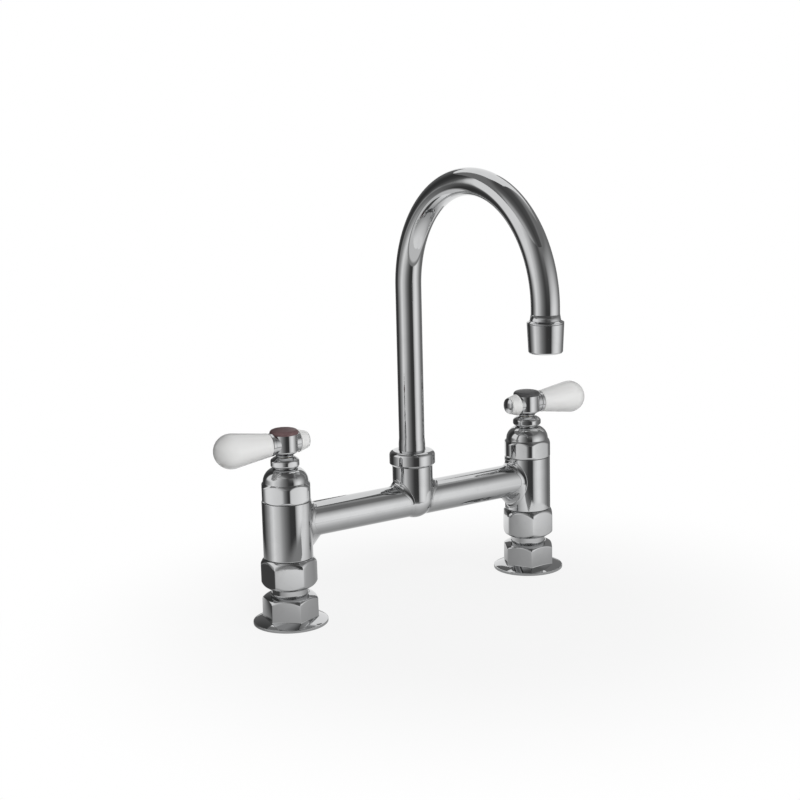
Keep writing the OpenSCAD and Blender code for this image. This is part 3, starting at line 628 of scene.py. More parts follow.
def bridge_tube(radius, bore, reach, seat_r):
    """The horizontal tube: circles carried along X, cut off inside the barrels' walls.

    At each angle an end lies where a circle of the seat's radius about the barrel
    meets the tube. The bore's surface runs back from end to end and closes it.
    """
    angle = np.linspace(0, TAU, 160, endpoint=False)[:, None]
    rows = []
    for r, share in ((radius, np.linspace(-1, 1, 41)), (bore, np.linspace(1, -1, 5))):
        x = (reach - np.sqrt(seat_r**2 - (r * np.cos(angle)) ** 2)) * share
        y = np.broadcast_to(r * np.cos(angle), x.shape)
        z = np.broadcast_to(r * np.sin(angle), x.shape)
        rows.append(np.stack([x, y, z], axis=-1))
    return skin(np.concatenate(rows, axis=1))


class FAUCET_OT_body(Operator):
    """Build the cast body: two hollow barrels, bridge tube, spout boss and fillets"""

    bl_idname = "faucet.body"
    bl_label = "Cast body"

    barrel_r, boss_r, bridge_r, bore_r, seat_r = 16.6, 14.0, 11.6, 7.8, 14.5
    nut_gap, bridge_rise = 0.3, 22.4

    def execute(self, context):
        shoulder = heights("hot_union_nut")[1] + self.nut_gap
        bridge_z = shoulder + self.bridge_rise
        swell_r, swell_up = self.boss_r - 0.4, 1.0
        boss = self.boss(bridge_z, swell_r, bridge_z + swell_up)
        bridge = bridge_tube(self.bridge_r, self.bore_r, tower_x("cold"), self.seat_r)
        surfaces = [moved(boss, 0, AXIS_Y), moved(bridge, 0, AXIS_Y, bridge_z)]
        barrel = self.barrel(shoulder)
        balls = finish_size("barrel_fillet"), finish_size("barrel_fillet_top")
        at_barrel = fillet_ring(self.barrel_r, self.bridge_r, balls)
        balls = (finish_size("boss_fillet"),) * 2
        at_boss = fillet_ring(self.boss_r, self.bridge_r, balls, swell_r, swell_up)
        for side, way in TOWERS.items():
            inwards = mirrored(at_barrel) if way > 0 else at_barrel
            outwards = at_boss if way > 0 else mirrored(at_boss)
            surfaces += [at_tower(barrel, side), at_tower(inwards, side, bridge_z)]
            surfaces.append(moved(outwards, 0, AXIS_Y, bridge_z))
        make_piece("cast_body", surfaces, ["faucet_body"], material="cast_chrome")
        return {"FINISHED"}

    def barrel(self, shoulder):
        """A barrel from its tail up, then down through the thread and the chamber."""
        edge = finish_size("edge")
        foot = heights("faucet_body")[0]
        top = heights("hot_bonnet_washer")[0]
        seat = heights("hot_seat_seal")[0]
        thread_foot = heights("hot_bonnet")[0] - 1
        tail_r, thread_r, chamber_r = 14.3, 13.15, 12.1
        outside = (WATERWAY_R, foot, tail_r, shoulder, self.barrel_r, top)
        corners = steps(*outside, thread_r, thread_foot, chamber_r, seat, WATERWAY_R)
        radii = [edge / 2, edge, edge / 2, edge, edge, edge / 2, 0, 0, 0, 0]
        return turned(rounded(corners, radii))

    def boss(self, bridge_z, swell_r, swell_z):
        """The boss: a round swell, a thread for the nut above it, the spout's socket."""
        edge = finish_size("edge")
        top = heights("faucet_body")[1]
        thread_r, thread_len, socket_r, socket_depth = 13.5, 5.3, 10.5, 20.5
        shoulder, socket_z = top - thread_len, top - socket_depth
        sweep = np.linspace(-math.pi / 2, 0, 24)
        swell = arc_points(self.boss_r - swell_r, swell_z, swell_r, sweep)
        neck = (self.boss_r, shoulder, thread_r, top)
        corners = steps(*neck, socket_r, socket_z, WATERWAY_R, bridge_z, 0)
        radii = [0] * (len(swell) + 1) + [edge, edge / 2, edge, edge / 2, 0, 0, 0, 0]
        profile = np.concatenate([[(0, swell_z - swell_r)], swell, corners])
        return turned(rounded(profile, radii), poles=True)


class FAUCET_OT_inlets(Operator):
    """Build the two deck inlets: flange, crowned hexagon, neck and lip over a thread"""

    bl_idname = "faucet.inlets"
    bl_label = "Deck inlets"

    turns = {"hot": 20, "cold": 0}

    def execute(self, context):
        edge, corner = finish_size("edge"), finish_size("hex_corner")
        flats, hex_foot, hex_top, rim = 34.2, 4.6, 20.6, 1.8
        bore_r, bore_top, neck_r, lip_r, lip_h = 9.15, 16, 12.4, 13.9, 2.8
        flange_r = box_mm("cold_inlet_flange")[1][0] - tower_x("cold")
        lip_top = heights("cold_inlet_flange")[1]
        lip_foot = lip_top - lip_h
        foot, top = (flats, 0.2, 1), (13.4, 4.6, 1.8)
        theta, outline, side = hexagon(flats, corner, 90, hex_foot, hex_top, foot, top)
        # The flange's dome meets the hexagon higher at its flats than at its edges.
        foot_r = flange_r - 0.5
        rise = (hex_foot - rim) / (1 - (flats / 2 / foot_r) ** 2)
        dome_r = (foot_r**2 + rise**2) / (2 * rise)
        r = foot_r + (outline[:, None] - foot_r) * np.linspace(0, 1, 9)
        dome_z = rim + rise - dome_r + np.sqrt(dome_r**2 - r**2)
        dome = np.stack([r, dome_z], axis=-1)
        above = dome[:, -1:] + [0, 0.8]
        inside = steps(neck_r, lip_foot, lip_r, lip_top, WATERWAY_R, bore_top, bore_r)
        profile = with_corners(
            steps(bore_r, 0, flange_r, rim),
            np.concatenate([dome, above, side[:, CROWN_ROWS + 2 :]], axis=1),
            [(neck_r, hex_top), *inside],
            [0.3, edge, 0.7],
            [0.5, 0.3, edge, edge, 0.3, 0, 0],
            [1, 0, 0, 0, 0, 0, 0, 0, 0.7],
        )
        for name, degrees in self.turns.items():
            inlet = turned(profile, theta + math.radians(degrees))
            nodes = [f"{name}_inlet_flange"]
            make_piece(f"{name}_deck_inlet", [at_tower(inlet, name)], nodes)
        return {"FINISHED"}


class FAUCET_OT_nuts(Operator):
    """Build the hexagonal pieces: union nuts, domed bonnets and packing nuts"""

    bl_idname = "faucet.nuts"
    bl_label = "Nuts and bonnets"

    union_turns = {"hot": 210, "cold": 4}
    bonnet_turns = {"hot": 180, "cold": 0}
    packing_turns = {"hot": 180, "cold": 22}

    def execute(self, context):
        for name in TOWERS:
            for label, node, profile, turns in (
                ("coupling_nut", "union_nut", self.union_nut, self.union_turns),
                ("domed_bonnet", "bonnet", self.bonnet, self.bonnet_turns),
                ("gland_nut", "packing_nut", self.packing_nut, self.packing_turns),
            ):
                node = f"{name}_{node}"
                theta, points = profile(name, *heights(node))
                nut = turned(points, theta + math.radians(turns[name]))
                make_piece(f"{name}_{label}", [at_tower(nut, name)], [node])
        return {"FINISHED"}

    def union_nut(self, name, low, high):
        edge, corner = finish_size("edge"), finish_size("hex_corner")
        foot_top = low + 4.2
        neck_r, thread_r = 12.45, 14.35
        foot, top = (13.6, 4.6, 1.7), (16.3, 4.8, 2.0)
        theta, _, side = hexagon(34.2, corner, 70, low, high, foot, top)
        before = [(neck_r, foot_top), (neck_r, low)]
        after = [(thread_r, high), (thread_r, foot_top)]
        return theta, with_corners(before, side, after, [0, edge], [edge, 0])

    def bonnet(self, name, foot, top):
        """The bonnet: a thread, a hexagon, a round shoulder and the spindle's bore."""
        edge = finish_size("edge")
        low = heights(f"{name}_bonnet_washer")[0] + 0.15
        hex_top, shoulder_r = low + 12.9, 9.6
        shoulder_top = hex_top + 9.2
        packing_z, chamber_top = hex_top + 4.6, foot + 9.2
        thread_r, chamber_r, neck_r, packing_r, bore_r = 13.1, 8.1, 7.7, 5.9, 4.05
        lower, upper = (16.3, 1.8, 1.6), (15.2, 3.2, 1.4)
        theta, _, side = hexagon(32.4, 4.5, 90, low, hex_top, lower, upper)
        sweep = np.linspace(0.04, math.asin((shoulder_top - hex_top) / shoulder_r), 22)
        shoulder = arc_points(5.6, hex_top, shoulder_r, sweep)
        shoulder = np.broadcast_to(shoulder, (len(theta),) + shoulder.shape)
        inside = steps(neck_r, top, packing_r, packing_z, bore_r, chamber_top, chamber_r)
        return theta, with_corners(
            steps(chamber_r, foot, thread_r, low),
            np.concatenate([side, shoulder], axis=1),
            [(neck_r, shoulder_top), *inside],
            [0, edge, 0],
            [0.2, edge, 0, 0, 0, 0, 0],
        )

    def packing_nut(self, name, low, high):
        edge = finish_size("edge")
        bore_r, thread_r, ceiling = 4.1, 7.75, high - 2
        foot, top = (8.6, 1.9, 1.8), (6.4, 3.6, 1.9)
        theta, _, side = hexagon(19.2, 3, 40, low, high, foot, top)
        before = [(thread_r, ceiling), (thread_r, low)]
        after = [(bore_r, high), (bore_r, ceiling)]
        return theta, with_corners(before, side, after, [0, edge / 2], [edge / 2, 0])


class FAUCET_OT_handles(Operator):
    """Build both lever handles: hub, index button, ferrule, lever, stub and cap"""

    bl_idname = "faucet.handles"
    bl_label = "Lever handles"

    def execute(self, context):
        for name, way in TOWERS.items():
            self.handle(name, way)
        return {"FINISHED"}

    def handle(self, name, way):
        lever_z = sum(heights(f"{name}_lever_grip")) / 2

        def piece(label, surfaces, node, *finish):
            surfaces = [at_tower(surface, name) for surface in surfaces]
            nodes = [f"{name}_{node}"]
            make_piece(f"{name}_{label}", surfaces, nodes, f"{name}_handle", *finish)

        def lying(profile, side, poles=False):
            return [laid_down(turned(profile, poles=poles), side, lever_z)]

        piece("hub", self.hub(name, way, lever_z), "handle_hub")
        button = turned(self.button(name), poles=True)
        piece("button", [button], "index_button", f"{name}_index", f"{name}_enamel")
        glaze = "white_glaze", "white_glaze"
        inner_r = 2.4
        start, end, radius = self.along_lever(name, "grip_ferrule", way)
        corners = steps(inner_r, start, radius, end + 0.1, inner_r)
        piece("collar", lying(rounded(corners, [0, 0.3, 0.5, 0]), way), "grip_ferrule")
        lever = lying(self.lever(name, way), way, poles=True)
        piece("lever", lever, "lever_grip", *glaze)
        start, end, radius = self.along_lever(name, "stub_sleeve", -way)
        rim_r, end_r, slope = 6.0, 5.3, 0.8
        rim = [(rim_r, end - slope), (end_r, end), (inner_r, end)]
        stub = rounded([(inner_r, start), (radius, start), *rim], [0, 0.2, 0.9, 0.3, 0])
        piece("stub", lying(stub, -way), "stub_sleeve", *glaze)
        tip = self.along_lever(name, "stub_cap", -way)[1]
        piece("stub_end", lying(self.cap(end, tip), -way, poles=True), "stub_cap")

    def along_lever(self, name, node, way):
        """Where a node of the handle starts and ends outwards, and its radius."""
        low, high = box_mm(f"{name}_{node}")
        start, end = sorted(way * (x - tower_x(name)) for x in (low[0], high[0]))
        return start, end, (high[2] - low[2]) / 2

    def hub(self, name, way, lever_z):
        """The hub on the spindle, and the arm through it that carries lever and stub."""
        foot, top = heights(f"{name}_handle_hub")
        screw_r, foot_r, hub_r, seat_r, well_r, arm_r = 2.15, 5.9, 9.4, 8.3, 4.6, 7.2
        well_foot, seat = foot + 7.4, top - 2.6
        flare = [*steps(screw_r, foot, foot_r, foot + 0.9), (hub_r, foot + 3.1)]
        well = steps(hub_r, top, seat_r, seat, well_r, well_foot, screw_r)
        radii = [0, finish_size("edge"), 1.2, 1.6, finish_size("edge") / 2]
        post = rounded(flare + well, radii + [0] * 5)
        arm_start, arm_end = -9.5, 9.6
        arm = rounded(steps(0, arm_start, arm_r, arm_end, 0), [0, 0.2, 0.2, 0])
        points, faces = laid_down(turned(arm, poles=True), way, lever_z)
        points[:, 2] = np.minimum(points[:, 2], top - 0.05)
        return [turned(post), (points, faces)]

    def lever(self, name, way):
        """The ceramic lever: a cone that runs without an edge into a ball at its tip."""
        start, tip, grip_r = self.along_lever(name, "lever_grip", way)
        neck_r, hole_r = 7.8, 2.6
        centre = tip - grip_r
        lean = math.asin((grip_r - neck_r) / (centre - start))
        sweep = np.linspace(-lean, math.pi / 2, 40)[:-1]
        ball = arc_points(0, centre, grip_r, sweep)
        cone = np.linspace((neck_r + 0.02, start + 0.8), ball[0], 12)[1:-1]
        hole = steps(0, centre + 1.5, hole_r, start, neck_r)
        head = rounded([*hole, tuple(cone[0])], [0, 0, 0, 0.6, 0])
        return np.concatenate([head, cone[1:], ball, [(0, tip)]])

    def cap(self, seat, tip):
        """The domed cap on the stub's end, with its shank."""
        cap_r, shank_r, shank_end = 5.6, 2.35, 6.2
        rise = tip - seat
        dome_r = (cap_r**2 + rise**2) / (2 * rise)
        sweep = np.linspace(math.asin(cap_r / dome_r), 0, 22)[:-1]
        corners = steps(0, shank_end, shank_r, seat - 0.4, cap_r)
        profile = [corners, dome_points(tip, dome_r, sweep), [(0, tip)]]
        radii = [0, 0.2, 0, 0.2, 0.25] + [0] * len(sweep)
        return rounded(np.concatenate(profile), radii)

    def button(self, name):
        """The index button: a plug, a round edge and a shallow dome that meets it."""
        low, high = heights(f"{name}_index_button")
        seat, radius, edge_r, plug_r = low + 2.6, 9.6, 2.4, 8.25
        tangent = math.radians(14)
        bend = np.linspace(0, math.pi / 2 - tangent, 12)
        round_edge = arc_points(radius - edge_r, seat + 0.7, edge_r, bend)
        dome_r = round_edge[-1, 0] / math.sin(tangent)
        dome = dome_points(high, dome_r, np.linspace(tangent, 0, 16)[1:-1])
        corners = steps(0, low, plug_r, seat, radius)
        profile = np.concatenate([corners, round_edge, dome, [(0, high)]])
        radii = [0, 0.3, 0, finish_size("edge")] + [0] * (len(profile) - 4)
        return rounded(profile, radii)


class FAUCET_OT_spout(Operator):
    """Build the spout: gooseneck tube, swivel nut, outlet ferrule and aerator housing"""

    bl_idname = "faucet.spout"
    bl_label = "Gooseneck spout"

    tube_r, tube_wall = 8.9, 1.25

    def execute(self, context):
        outlet_y = box_mm("gooseneck_tube")[0][1] + self.tube_r
        tube = moved(self.gooseneck((AXIS_Y - outlet_y) / 2), 0, AXIS_Y)
        nut = moved(self.swivel_nut(), 0, AXIS_Y)
        collar = moved(self.collar(), 0, outlet_y)
        shell = moved(self.aerator(), 0, outlet_y)
        more = {"body": "spout", "material": "tube_chrome"}
        make_piece("gooseneck", [tube], ["gooseneck_tube"], **more)
        make_piece("domed_swivel_nut", [nut], ["swivel_nut"])
        make_piece("outlet_collar", [collar], ["outlet_ferrule"], "spout")
        make_piece("aerator_shell", [shell], ["aerator_housing"], "spout")
        return {"FINISHED"}

    def gooseneck(self, bend_r):
        """The tube: circles carried up, over the half circle of the bend, and down.

        The inner wall runs back along the same line and closes it.
        """
        low, high = heights("gooseneck_tube")
        bend_z = high - self.tube_r - bend_r
        rise = np.linspace(low, bend_z, 24)
        fall = np.linspace(bend_z, heights("outlet_ferrule")[0] + 4, 4)
        turn = np.linspace(0, math.pi, 121)[1:-1]
        bend = -bend_r + bend_r * np.cos(turn)
        y = np.concatenate([0 * rise, bend, 0 * fall - 2 * bend_r])
        z = np.concatenate([rise, bend_z + bend_r * np.sin(turn), fall])
        lean = np.concatenate([0 * rise, turn, 0 * fall + math.pi])
        angle = np.linspace(0, TAU, 72, endpoint=False)[:, None]

        def wall_at(r):
            across, out = r * np.cos(angle) + 0 * y, r * np.sin(angle)
            return np.stack([across, y + out * np.cos(lean), z + out * np.sin(lean)], -1)

        inner = wall_at(self.tube_r - self.tube_wall)[:, ::-1]
        return skin(np.concatenate([wall_at(self.tube_r), inner], axis=1))

    def swivel_nut(self):
        """The nut over the boss: a chamfered foot, a domed top and the thread inside."""
        low, high = heights("swivel_nut")
        ceiling = heights("upper_glide_ring")[1]
        radius = box_mm("swivel_nut")[1][0]
        thread_r, top_r, bore_r, chamfer, top_edge = 13.55, 9.85, 9.3, 1.2, 0.75
        foot = [(thread_r, low), (radius - chamfer, low), (radius, low + chamfer)]
        inside = steps(top_r, high, bore_r, ceiling, thread_r)
        edge = finish_size("edge")
        radii = [edge, edge, 0.6, 3.9, 0.3, edge / 2, 0, 0]
        corners = [*foot, (radius, high - top_edge), *inside]
        return turned(rounded(corners, radii, arc_steps=10))

    def collar(self):
        """The outlet ferrule: a thread for the aerator, and the collar and its slope."""
        low, high = heights("outlet_ferrule")
        radius = box_mm("outlet_ferrule")[1][0]
        slope_z, ledge = high - 3.8, low + 4
        bore_r, thread_r, slope_r, rim_r = 7.65, 10.3, 9.6, 8.95
        outside = steps(bore_r, low, thread_r, slope_z - 1.8, radius, slope_z - 1.0)
        slope = [(slope_r, slope_z), (rim_r, high)]
        inside = [(self.tube_r, high), (self.tube_r, ledge), (bore_r, ledge)]
        radii = [0, finish_size("edge"), 0, 0.2, 0.3, 0.6, 0, 0, 0, 0]
        return turned(rounded(outside + slope + inside, radii))

    def aerator(self):
        """The tapered aerator housing, with its thread and the insert's seat inside."""
        low, high = heights("aerator_housing")
        top_r = box_mm("aerator_housing")[1][0]
        seat = heights("aerator_insert")[0]
        washer = heights("aerator_washer")[0]
        mouth_r, insert_r, thread_r = 8.6, 9.35, 10.35
        foot = [(mouth_r, low), (top_r - 1.45, low), (top_r - 0.85, low + 0.8)]
        body = steps(top_r, high, thread_r, washer, insert_r, seat, mouth_r)
        return turned(rounded(foot + body, [0.3, 0.5, 1.0, 0.3, 0, 0, 0, 0, 0.2]))


# ---- studio

CAMERA_AZIMUTH, CAMERA_ELEVATION, CAMERA_ROLL = -33.84, 11.095, -1.392
CAMERA_PLACE = (-0.6166, -0.9061, 0.3537)
CAMERA_FOCAL_PX, PICTURE_PX, SENSOR_MM = 1617.3, 800, 36.0

# The cards that polished metal sees: degrees from the camera's direction to the
# right, and how light the card is there.
CARDS_ROUND = (
    (-172, 0.16), (-150, 0.13), (-138, 0.07), (-124, 0.04), (-112, 0.06), (-104, 0.16),
    (-96, 0.24), (-88, 0.38), (-80, 0.50), (-72, 0.78), (-60, 1.06), (-50, 0.88),
    (-35, 0.68), (-24, 0.43), (-12, 0.25), (0, 0.135), (10, 0.06), (32, 0.05),
    (37, 0.48), (47, 0.92), (60, 1.12), (72, 1.05), (82, 0.82), (90, 0.66),
    (106, 0.34), (120, 0.18), (134, 0.22), (162, 0.20),
)  # fmt: skip
# How much brighter than the written greys the round card glows.
CARD_GAIN = 1.15
CARD_RADIUS, CARD_FOOT, CARD_TOP = 0.60, -0.45, 0.66
# Polished metal doesn't see the floor, and sees the card a little below it instead.
FLOOR_Z, TABLE_Z = -0.0003, -0.0004
# The card overhead: metres to the right of the faucet's middle, and how light it is.
CEILING_ACROSS = (
    (-0.80, 0.54), (-0.42, 0.52), (-0.27, 0.16), (-0.10, 0.08), (0.10, 0.10),
    (0.20, 0.26), (0.42, 0.50), (0.80, 0.60),
)  # fmt: skip
# The card just under the floor, with a painted shadow darkest under the bridge: share of the way
# out from the bridge, how light.
TABLE_OUTWARDS = ((0, 0.37), (0.28, 0.50), (0.47, 0.66), (1, 0.97))
SEEN_DIRECTLY = ("Is Camera Ray", "Is Glossy Ray", "Is Transmission Ray")


def link_piece(name, mesh, material):
    """A stage piece in the scene."""
    mesh.materials.append(material)
    piece = bpy.data.objects.new(name, mesh)
    bpy.context.scene.collection.objects.link(piece)
    return piece


def flat_piece(name, outline, height, material):
    """A level stage piece with the given outline."""
    mesh = bpy.data.meshes.new(name)
    points = [(x, y, height) for x, y in outline]
    mesh.from_pydata(points, [], [tuple(range(len(points)))])
    return link_piece(name, mesh, material)


def only_in_reflections(piece):
    """The piece is seen in polished surfaces and nowhere else."""
    for sight in ("camera", "diffuse", "shadow", "volume_scatter"):
        setattr(piece, f"visible_{sight}", False)


def grey(shade):
    return (shade, shade, shade, 1)


def add_ramp(tree, value, stops):
    """A colour ramp of greys: stops are (place from nought to one, grey)."""
    ramp = add_node(tree, "ShaderNodeValToRGB", {"Fac": value})
    elements = ramp.color_ramp.elements
    elements.remove(elements[-1])
    for number, (place, shade) in enumerate(stops):
        stop = elements[0] if number == 0 else elements.new(place)
        stop.position = place
        stop.color = grey(shade)
    return ramp.outputs["Color"]


def glowing_material(name, strength=1.0):
    """A material that only glows, its tree and the socket of its glow."""
    material, tree, shader = new_material(name)
    shader["Base Color"].default_value = grey(0)
    shader["Specular IOR Level"].default_value = 0
    shader["Emission Strength"].default_value = strength
    return material, tree, shader["Emission Color"]


def across_and_along(tree, place):
    """X and Y of a place."""
    parts = add_node(tree, "ShaderNodeSeparateXYZ", {0: place}).outputs
    return parts["X"], parts["Y"]


def card_material():
    """Greys of the round card: they follow the angle, and are even far below.

    A light field stands higher up on the left, and the right is dim far above.
    """
    material, tree, glow = glowing_material("card_greys", CARD_GAIN)
    place = tree.nodes.new("ShaderNodeUVMap").outputs["UV"]
    turn, height = across_and_along(tree, place)

    def between(low, high):
        return map_range(tree, turn, 0.5 + low / 360, 0.5 + high / 360)

    left = product(tree, between(-107, -101), between(-44, -62))
    far_above = map_range(tree, height, 0.15, 0.62, kind="LINEAR")
    right = product(tree, far_above, between(0, 30))
    stops = [(0.5 + degrees / 360, shade / CARD_GAIN) for degrees, shade in CARDS_ROUND]
    greys = add_ramp(tree, turn, stops)
    for factor, shade in (
        (map_range(tree, height, -0.098, -0.122), 0.30),
        (map_range(tree, height, -0.14, -0.20), 0.75),
        (product(tree, left, map_range(tree, height, 0.12, 0.26)), 1.0),
        (right, 0.22),
    ):
        greys = mix_colours(tree, factor, greys, grey(shade / CARD_GAIN))
    tree.links.new(greys, glow)
    return material


def round_card():
    """A card curved round the faucet, open at the back: x = r cos a, y = r sin a."""
    degrees = np.linspace(CARDS_ROUND[0][0], CARDS_ROUND[-1][0], 161)
    angle = math.atan2(CAMERA_PLACE[1], CAMERA_PLACE[0]) + np.radians(degrees)
    x, y = CARD_RADIUS * np.cos(angle), CARD_RADIUS * np.sin(angle) + AXIS_Y * MM
    rows = [np.stack([x, y, 0 * x + z], axis=-1) for z in (CARD_FOOT, CARD_TOP)]
    count = len(angle)
    step = np.arange(count - 1)
    faces = np.stack([step, step + 1, step + 1 + count, step + count], axis=-1)
    mesh = bpy.data.meshes.new("round_card")
    mesh.from_pydata(np.concatenate(rows), [], faces.tolist())
    u = np.tile(0.5 + degrees / 360, 2)
    v = np.repeat([CARD_FOOT, CARD_TOP], count)
    corners = faces.ravel()
    layer = mesh.uv_layers.new(name="UVMap")
    layer.uv.foreach_set("vector", np.stack([u[corners], v[corners]], -1).ravel())
    only_in_reflections(link_piece("round_card", mesh, card_material()))


def ceiling_card():
    """What upward metal sees: dark overhead, lighter at both sides, dim at the back left.

    The greys follow the distance along X. A darker field at the front right shows as
    a line along the bridge. At the back right the card ends and the white shows.
    """
    material, tree, glow = glowing_material("ceiling_greys")
    x, y = across_and_along(tree, object_place(tree))
    reach = CARD_RADIUS * 1.5
    share = map_range(tree, x, -reach, reach, kind="LINEAR")
    stops = [(0.5 + right / 2 / reach, shade) for right, shade in CEILING_ACROSS]
    front = map_range(tree, y, -0.03, -0.15)
    front_right = product(tree, front, map_range(tree, x, 0.16, 0.26))
    behind = map_range(tree, y, 0.10, 0.22)
    greys = add_ramp(tree, share, stops)
    for factor in (front_right, behind):
        greys = mix_colours(tree, factor, greys, grey(0.22))
    tree.links.new(greys, glow)
    back_right = [(reach, 0.05), (0.03, 0.05), (-0.06, 0.17), (-0.06, reach)]
    outline = [(-reach, -reach), (reach, -reach), *back_right, (-reach, reach)]
    only_in_reflections(flat_piece("ceiling_card", outline, CARD_TOP, material))


def table_card():
    """What metal sees of the floor, with a painted shadow: darker under the bridge,
    lighter away from it.

    It is darkest behind the left end. Its outline is an arc round each tower, and
    reaches further out at the front right.
    """
    material, tree, glow = glowing_material("table_greys")
    x, y = across_and_along(tree, object_place(tree))
    off = add_math(tree, "SUBTRACT", y, AXIS_Y * MM)
    away = add_math(tree, "ABSOLUTE", off, 0)
    # Painted shadow: the grey is darkest along the bridge's line and lightens outwards.
    near = map_range(tree, away, 0.0, 0.14, kind="LINEAR")
    left = map_range(tree, x, -0.112, -0.138)
    back_left = product(tree, left, map_range(tree, off, -0.012, 0.012))
    greys = add_ramp(tree, near, TABLE_OUTWARDS)
    tree.links.new(mix_colours(tree, back_left, greys, grey(0.07)), glow)
    reach, further = 0.155, 0.028
    half = abs(tower_x("hot")) * MM
    turn = np.linspace(-math.pi / 2, math.pi / 2, 25)
    right = reach + further * (1 - np.sin(turn))
    x = np.concatenate([half + right * np.cos(turn), -half - reach * np.cos(turn)])
    y = np.concatenate([right * np.sin(turn), -reach * np.sin(turn)])
    outline = list(zip(x.tolist(), (y + AXIS_Y * MM).tolist()))
    step_x = 0.03
    outline += [(0.0, AXIS_Y * MM - reach), (step_x, AXIS_Y * MM - right[0])]
    only_in_reflections(flat_piece("table_card", outline, TABLE_Z, material))


def seen_directly(tree):
    """One for a ray from the camera or off a polished surface, otherwise nought."""
    path = tree.nodes.new("ShaderNodeLightPath").outputs
    total = path[SEEN_DIRECTLY[0]]
    for kind in SEEN_DIRECTLY[1:]:
        total = add_math(tree, "ADD", total, path[kind], clamp=True)
    return total


def mix_shaders(tree, factor, a, b):
    return add_node(tree, "ShaderNodeMixShader", {"Fac": factor, 1: a, 2: b}).outputs[0]


def floor_material():
    """A pale floor that keeps a soft shadow and fades to white away from the faucet."""
    material, tree, shader = new_material("pale_floor")
    shader["Base Color"].default_value = grey(0.9)
    shader["Roughness"].default_value = 0.9
    shader["Specular IOR Level"].default_value = 0
    white = add_node(tree, "ShaderNodeEmission", {"Color": grey(1)})
    inputs = {0: object_place(tree)}
    away = add_node(tree, "ShaderNodeVectorMath", inputs, operation="LENGTH")
    far = map_range(tree, away.outputs["Value"], 0.08, 0.32, 0.84, 1.0)
    seen = product(tree, seen_directly(tree), far)
    pale = tree.nodes["Principled BSDF"].outputs["BSDF"]
    mixed = mix_shaders(tree, seen, pale, white.outputs["Emission"])
    tree.links.new(mixed, tree.nodes["Material Output"].inputs["Surface"])
    return material


def make_world(ambient):
    """White as a background, also in metal, and an even light on the object."""
    world = bpy.data.worlds.new("studio")
    bpy.context.scene.world = world
    world.use_nodes = True
    tree = world.node_tree
    tree.nodes.clear()
    even, white = (
        add_node(tree, "ShaderNodeBackground", {"Color": grey(1), "Strength": strength})
        for strength in (ambient, 1)
    )
    mixed = mix_shaders(tree, seen_directly(tree), even.outputs[0], white.outputs[0])
    add_node(tree, "ShaderNodeOutputWorld", {"Surface": mixed})


def add_lamp(name, place, size, power, target=(0, 0.03, 0.12)):
    """A softbox that points at the faucet. Camera and polished metal don't see it."""
    light = bpy.data.lights.new(name, "AREA")
    light.shape = "RECTANGLE"
    light.size, light.size_y = size
    light.energy = power
    lamp = bpy.data.objects.new(name, light)
    bpy.context.scene.collection.objects.link(lamp)
    away = Vector(place) - Vector(target)
    turn = away.to_track_quat("Z", "Y").to_matrix().to_4x4()
    lamp.matrix_world = Matrix.Translation(place) @ turn
    lamp.visible_camera = False
    lamp.visible_glossy = False


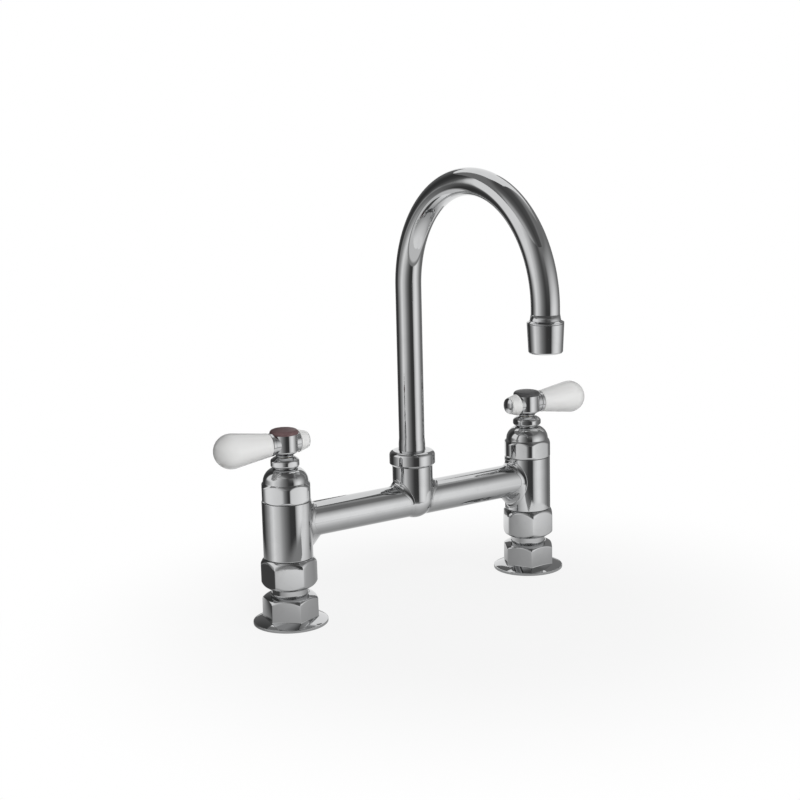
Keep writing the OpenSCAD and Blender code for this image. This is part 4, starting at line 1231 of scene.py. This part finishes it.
class FAUCET_OT_studio(Operator):
    """Set up the floor, the lamps, the world and the camera"""

    bl_idname = "faucet.studio"
    bl_label = "Studio"

    def execute(self, context):
        studio = context.scene.faucet_studio
        scene = context.scene
        scene.view_settings.view_transform = "Standard"
        make_world(studio.ambient)
        reach = 4.0
        outline = [(-reach, -reach), (reach, -reach), (reach, reach), (-reach, reach)]
        floor = flat_piece("floor", outline, FLOOR_Z, floor_material())
        floor.visible_glossy = False
        round_card()
        ceiling_card()
        table_card()
        add_lamp("key_softbox", (-0.50, -1.20, 1.0), (0.9, 0.9), studio.key)
        add_lamp("fill_softbox", (0.75, -1.25, 0.55), (0.8, 1.0), studio.fill)
        self.camera(scene)
        return {"FINISHED"}

    def camera(self, scene):
        """Camera on the photograph's line of sight: azimuth, elevation, then roll."""
        data = bpy.data.cameras.new("camera")
        data.sensor_width = SENSOR_MM
        data.lens = CAMERA_FOCAL_PX / PICTURE_PX * SENSOR_MM
        data.clip_start, data.clip_end = 0.01, 50
        camera = bpy.data.objects.new("camera", data)
        scene.collection.objects.link(camera)
        place = (CAMERA_PLACE[0], CAMERA_PLACE[1] + AXIS_Y * MM, CAMERA_PLACE[2])
        camera.matrix_world = Matrix.Translation(place)
        for degrees, axis in (
            (CAMERA_AZIMUTH, "Z"), (90 - CAMERA_ELEVATION, "X"), (CAMERA_ROLL, "Z")
        ):  # fmt: skip
            camera.matrix_world @= Matrix.Rotation(math.radians(degrees), 4, axis)
        scene.camera = camera


# ---- add-on

BUILD_STEPS = (
    FAUCET_OT_finishes,
    FAUCET_OT_body,
    FAUCET_OT_inlets,
    FAUCET_OT_nuts,
    FAUCET_OT_handles,
    FAUCET_OT_spout,
    FAUCET_OT_studio,
)
SETTINGS = {
    "faucet_sizes": FaucetSizes,
    "faucet_finishes": FaucetFinishes,
    "faucet_studio": FaucetStudio,
}


class FAUCET_PT_steps(Panel):
    """The build steps and their settings in the 3D view's sidebar"""

    bl_idname = "FAUCET_PT_steps"
    bl_label = "Bridge Faucet"
    bl_space_type = "VIEW_3D"
    bl_region_type = "UI"
    bl_category = "Faucet"

    def draw(self, context):
        for step in BUILD_STEPS:
            self.layout.operator(step.bl_idname)
        for name, group in SETTINGS.items():
            column = self.layout.column()
            column.label(text=group.__doc__)
            for setting in group.__annotations__:
                column.prop(getattr(context.scene, name), setting)


def register():
    for group in SETTINGS.values():
        bpy.utils.register_class(group)
    for name, group in SETTINGS.items():
        setattr(bpy.types.Scene, name, PointerProperty(type=group))
    for item in (*BUILD_STEPS, FAUCET_PT_steps):
        bpy.utils.register_class(item)


def unregister():
    for item in reversed((*BUILD_STEPS, FAUCET_PT_steps)):
        bpy.utils.unregister_class(item)
    for name, group in SETTINGS.items():
        delattr(bpy.types.Scene, name)
        bpy.utils.unregister_class(group)


def main():
    """Runs the build steps in order."""
    register()
    bpy.ops.faucet.finishes()
    bpy.ops.faucet.body()
    bpy.ops.faucet.inlets()
    bpy.ops.faucet.nuts()
    bpy.ops.faucet.handles()
    bpy.ops.faucet.spout()
    bpy.ops.faucet.studio()


if __name__ == "__main__":
    main()
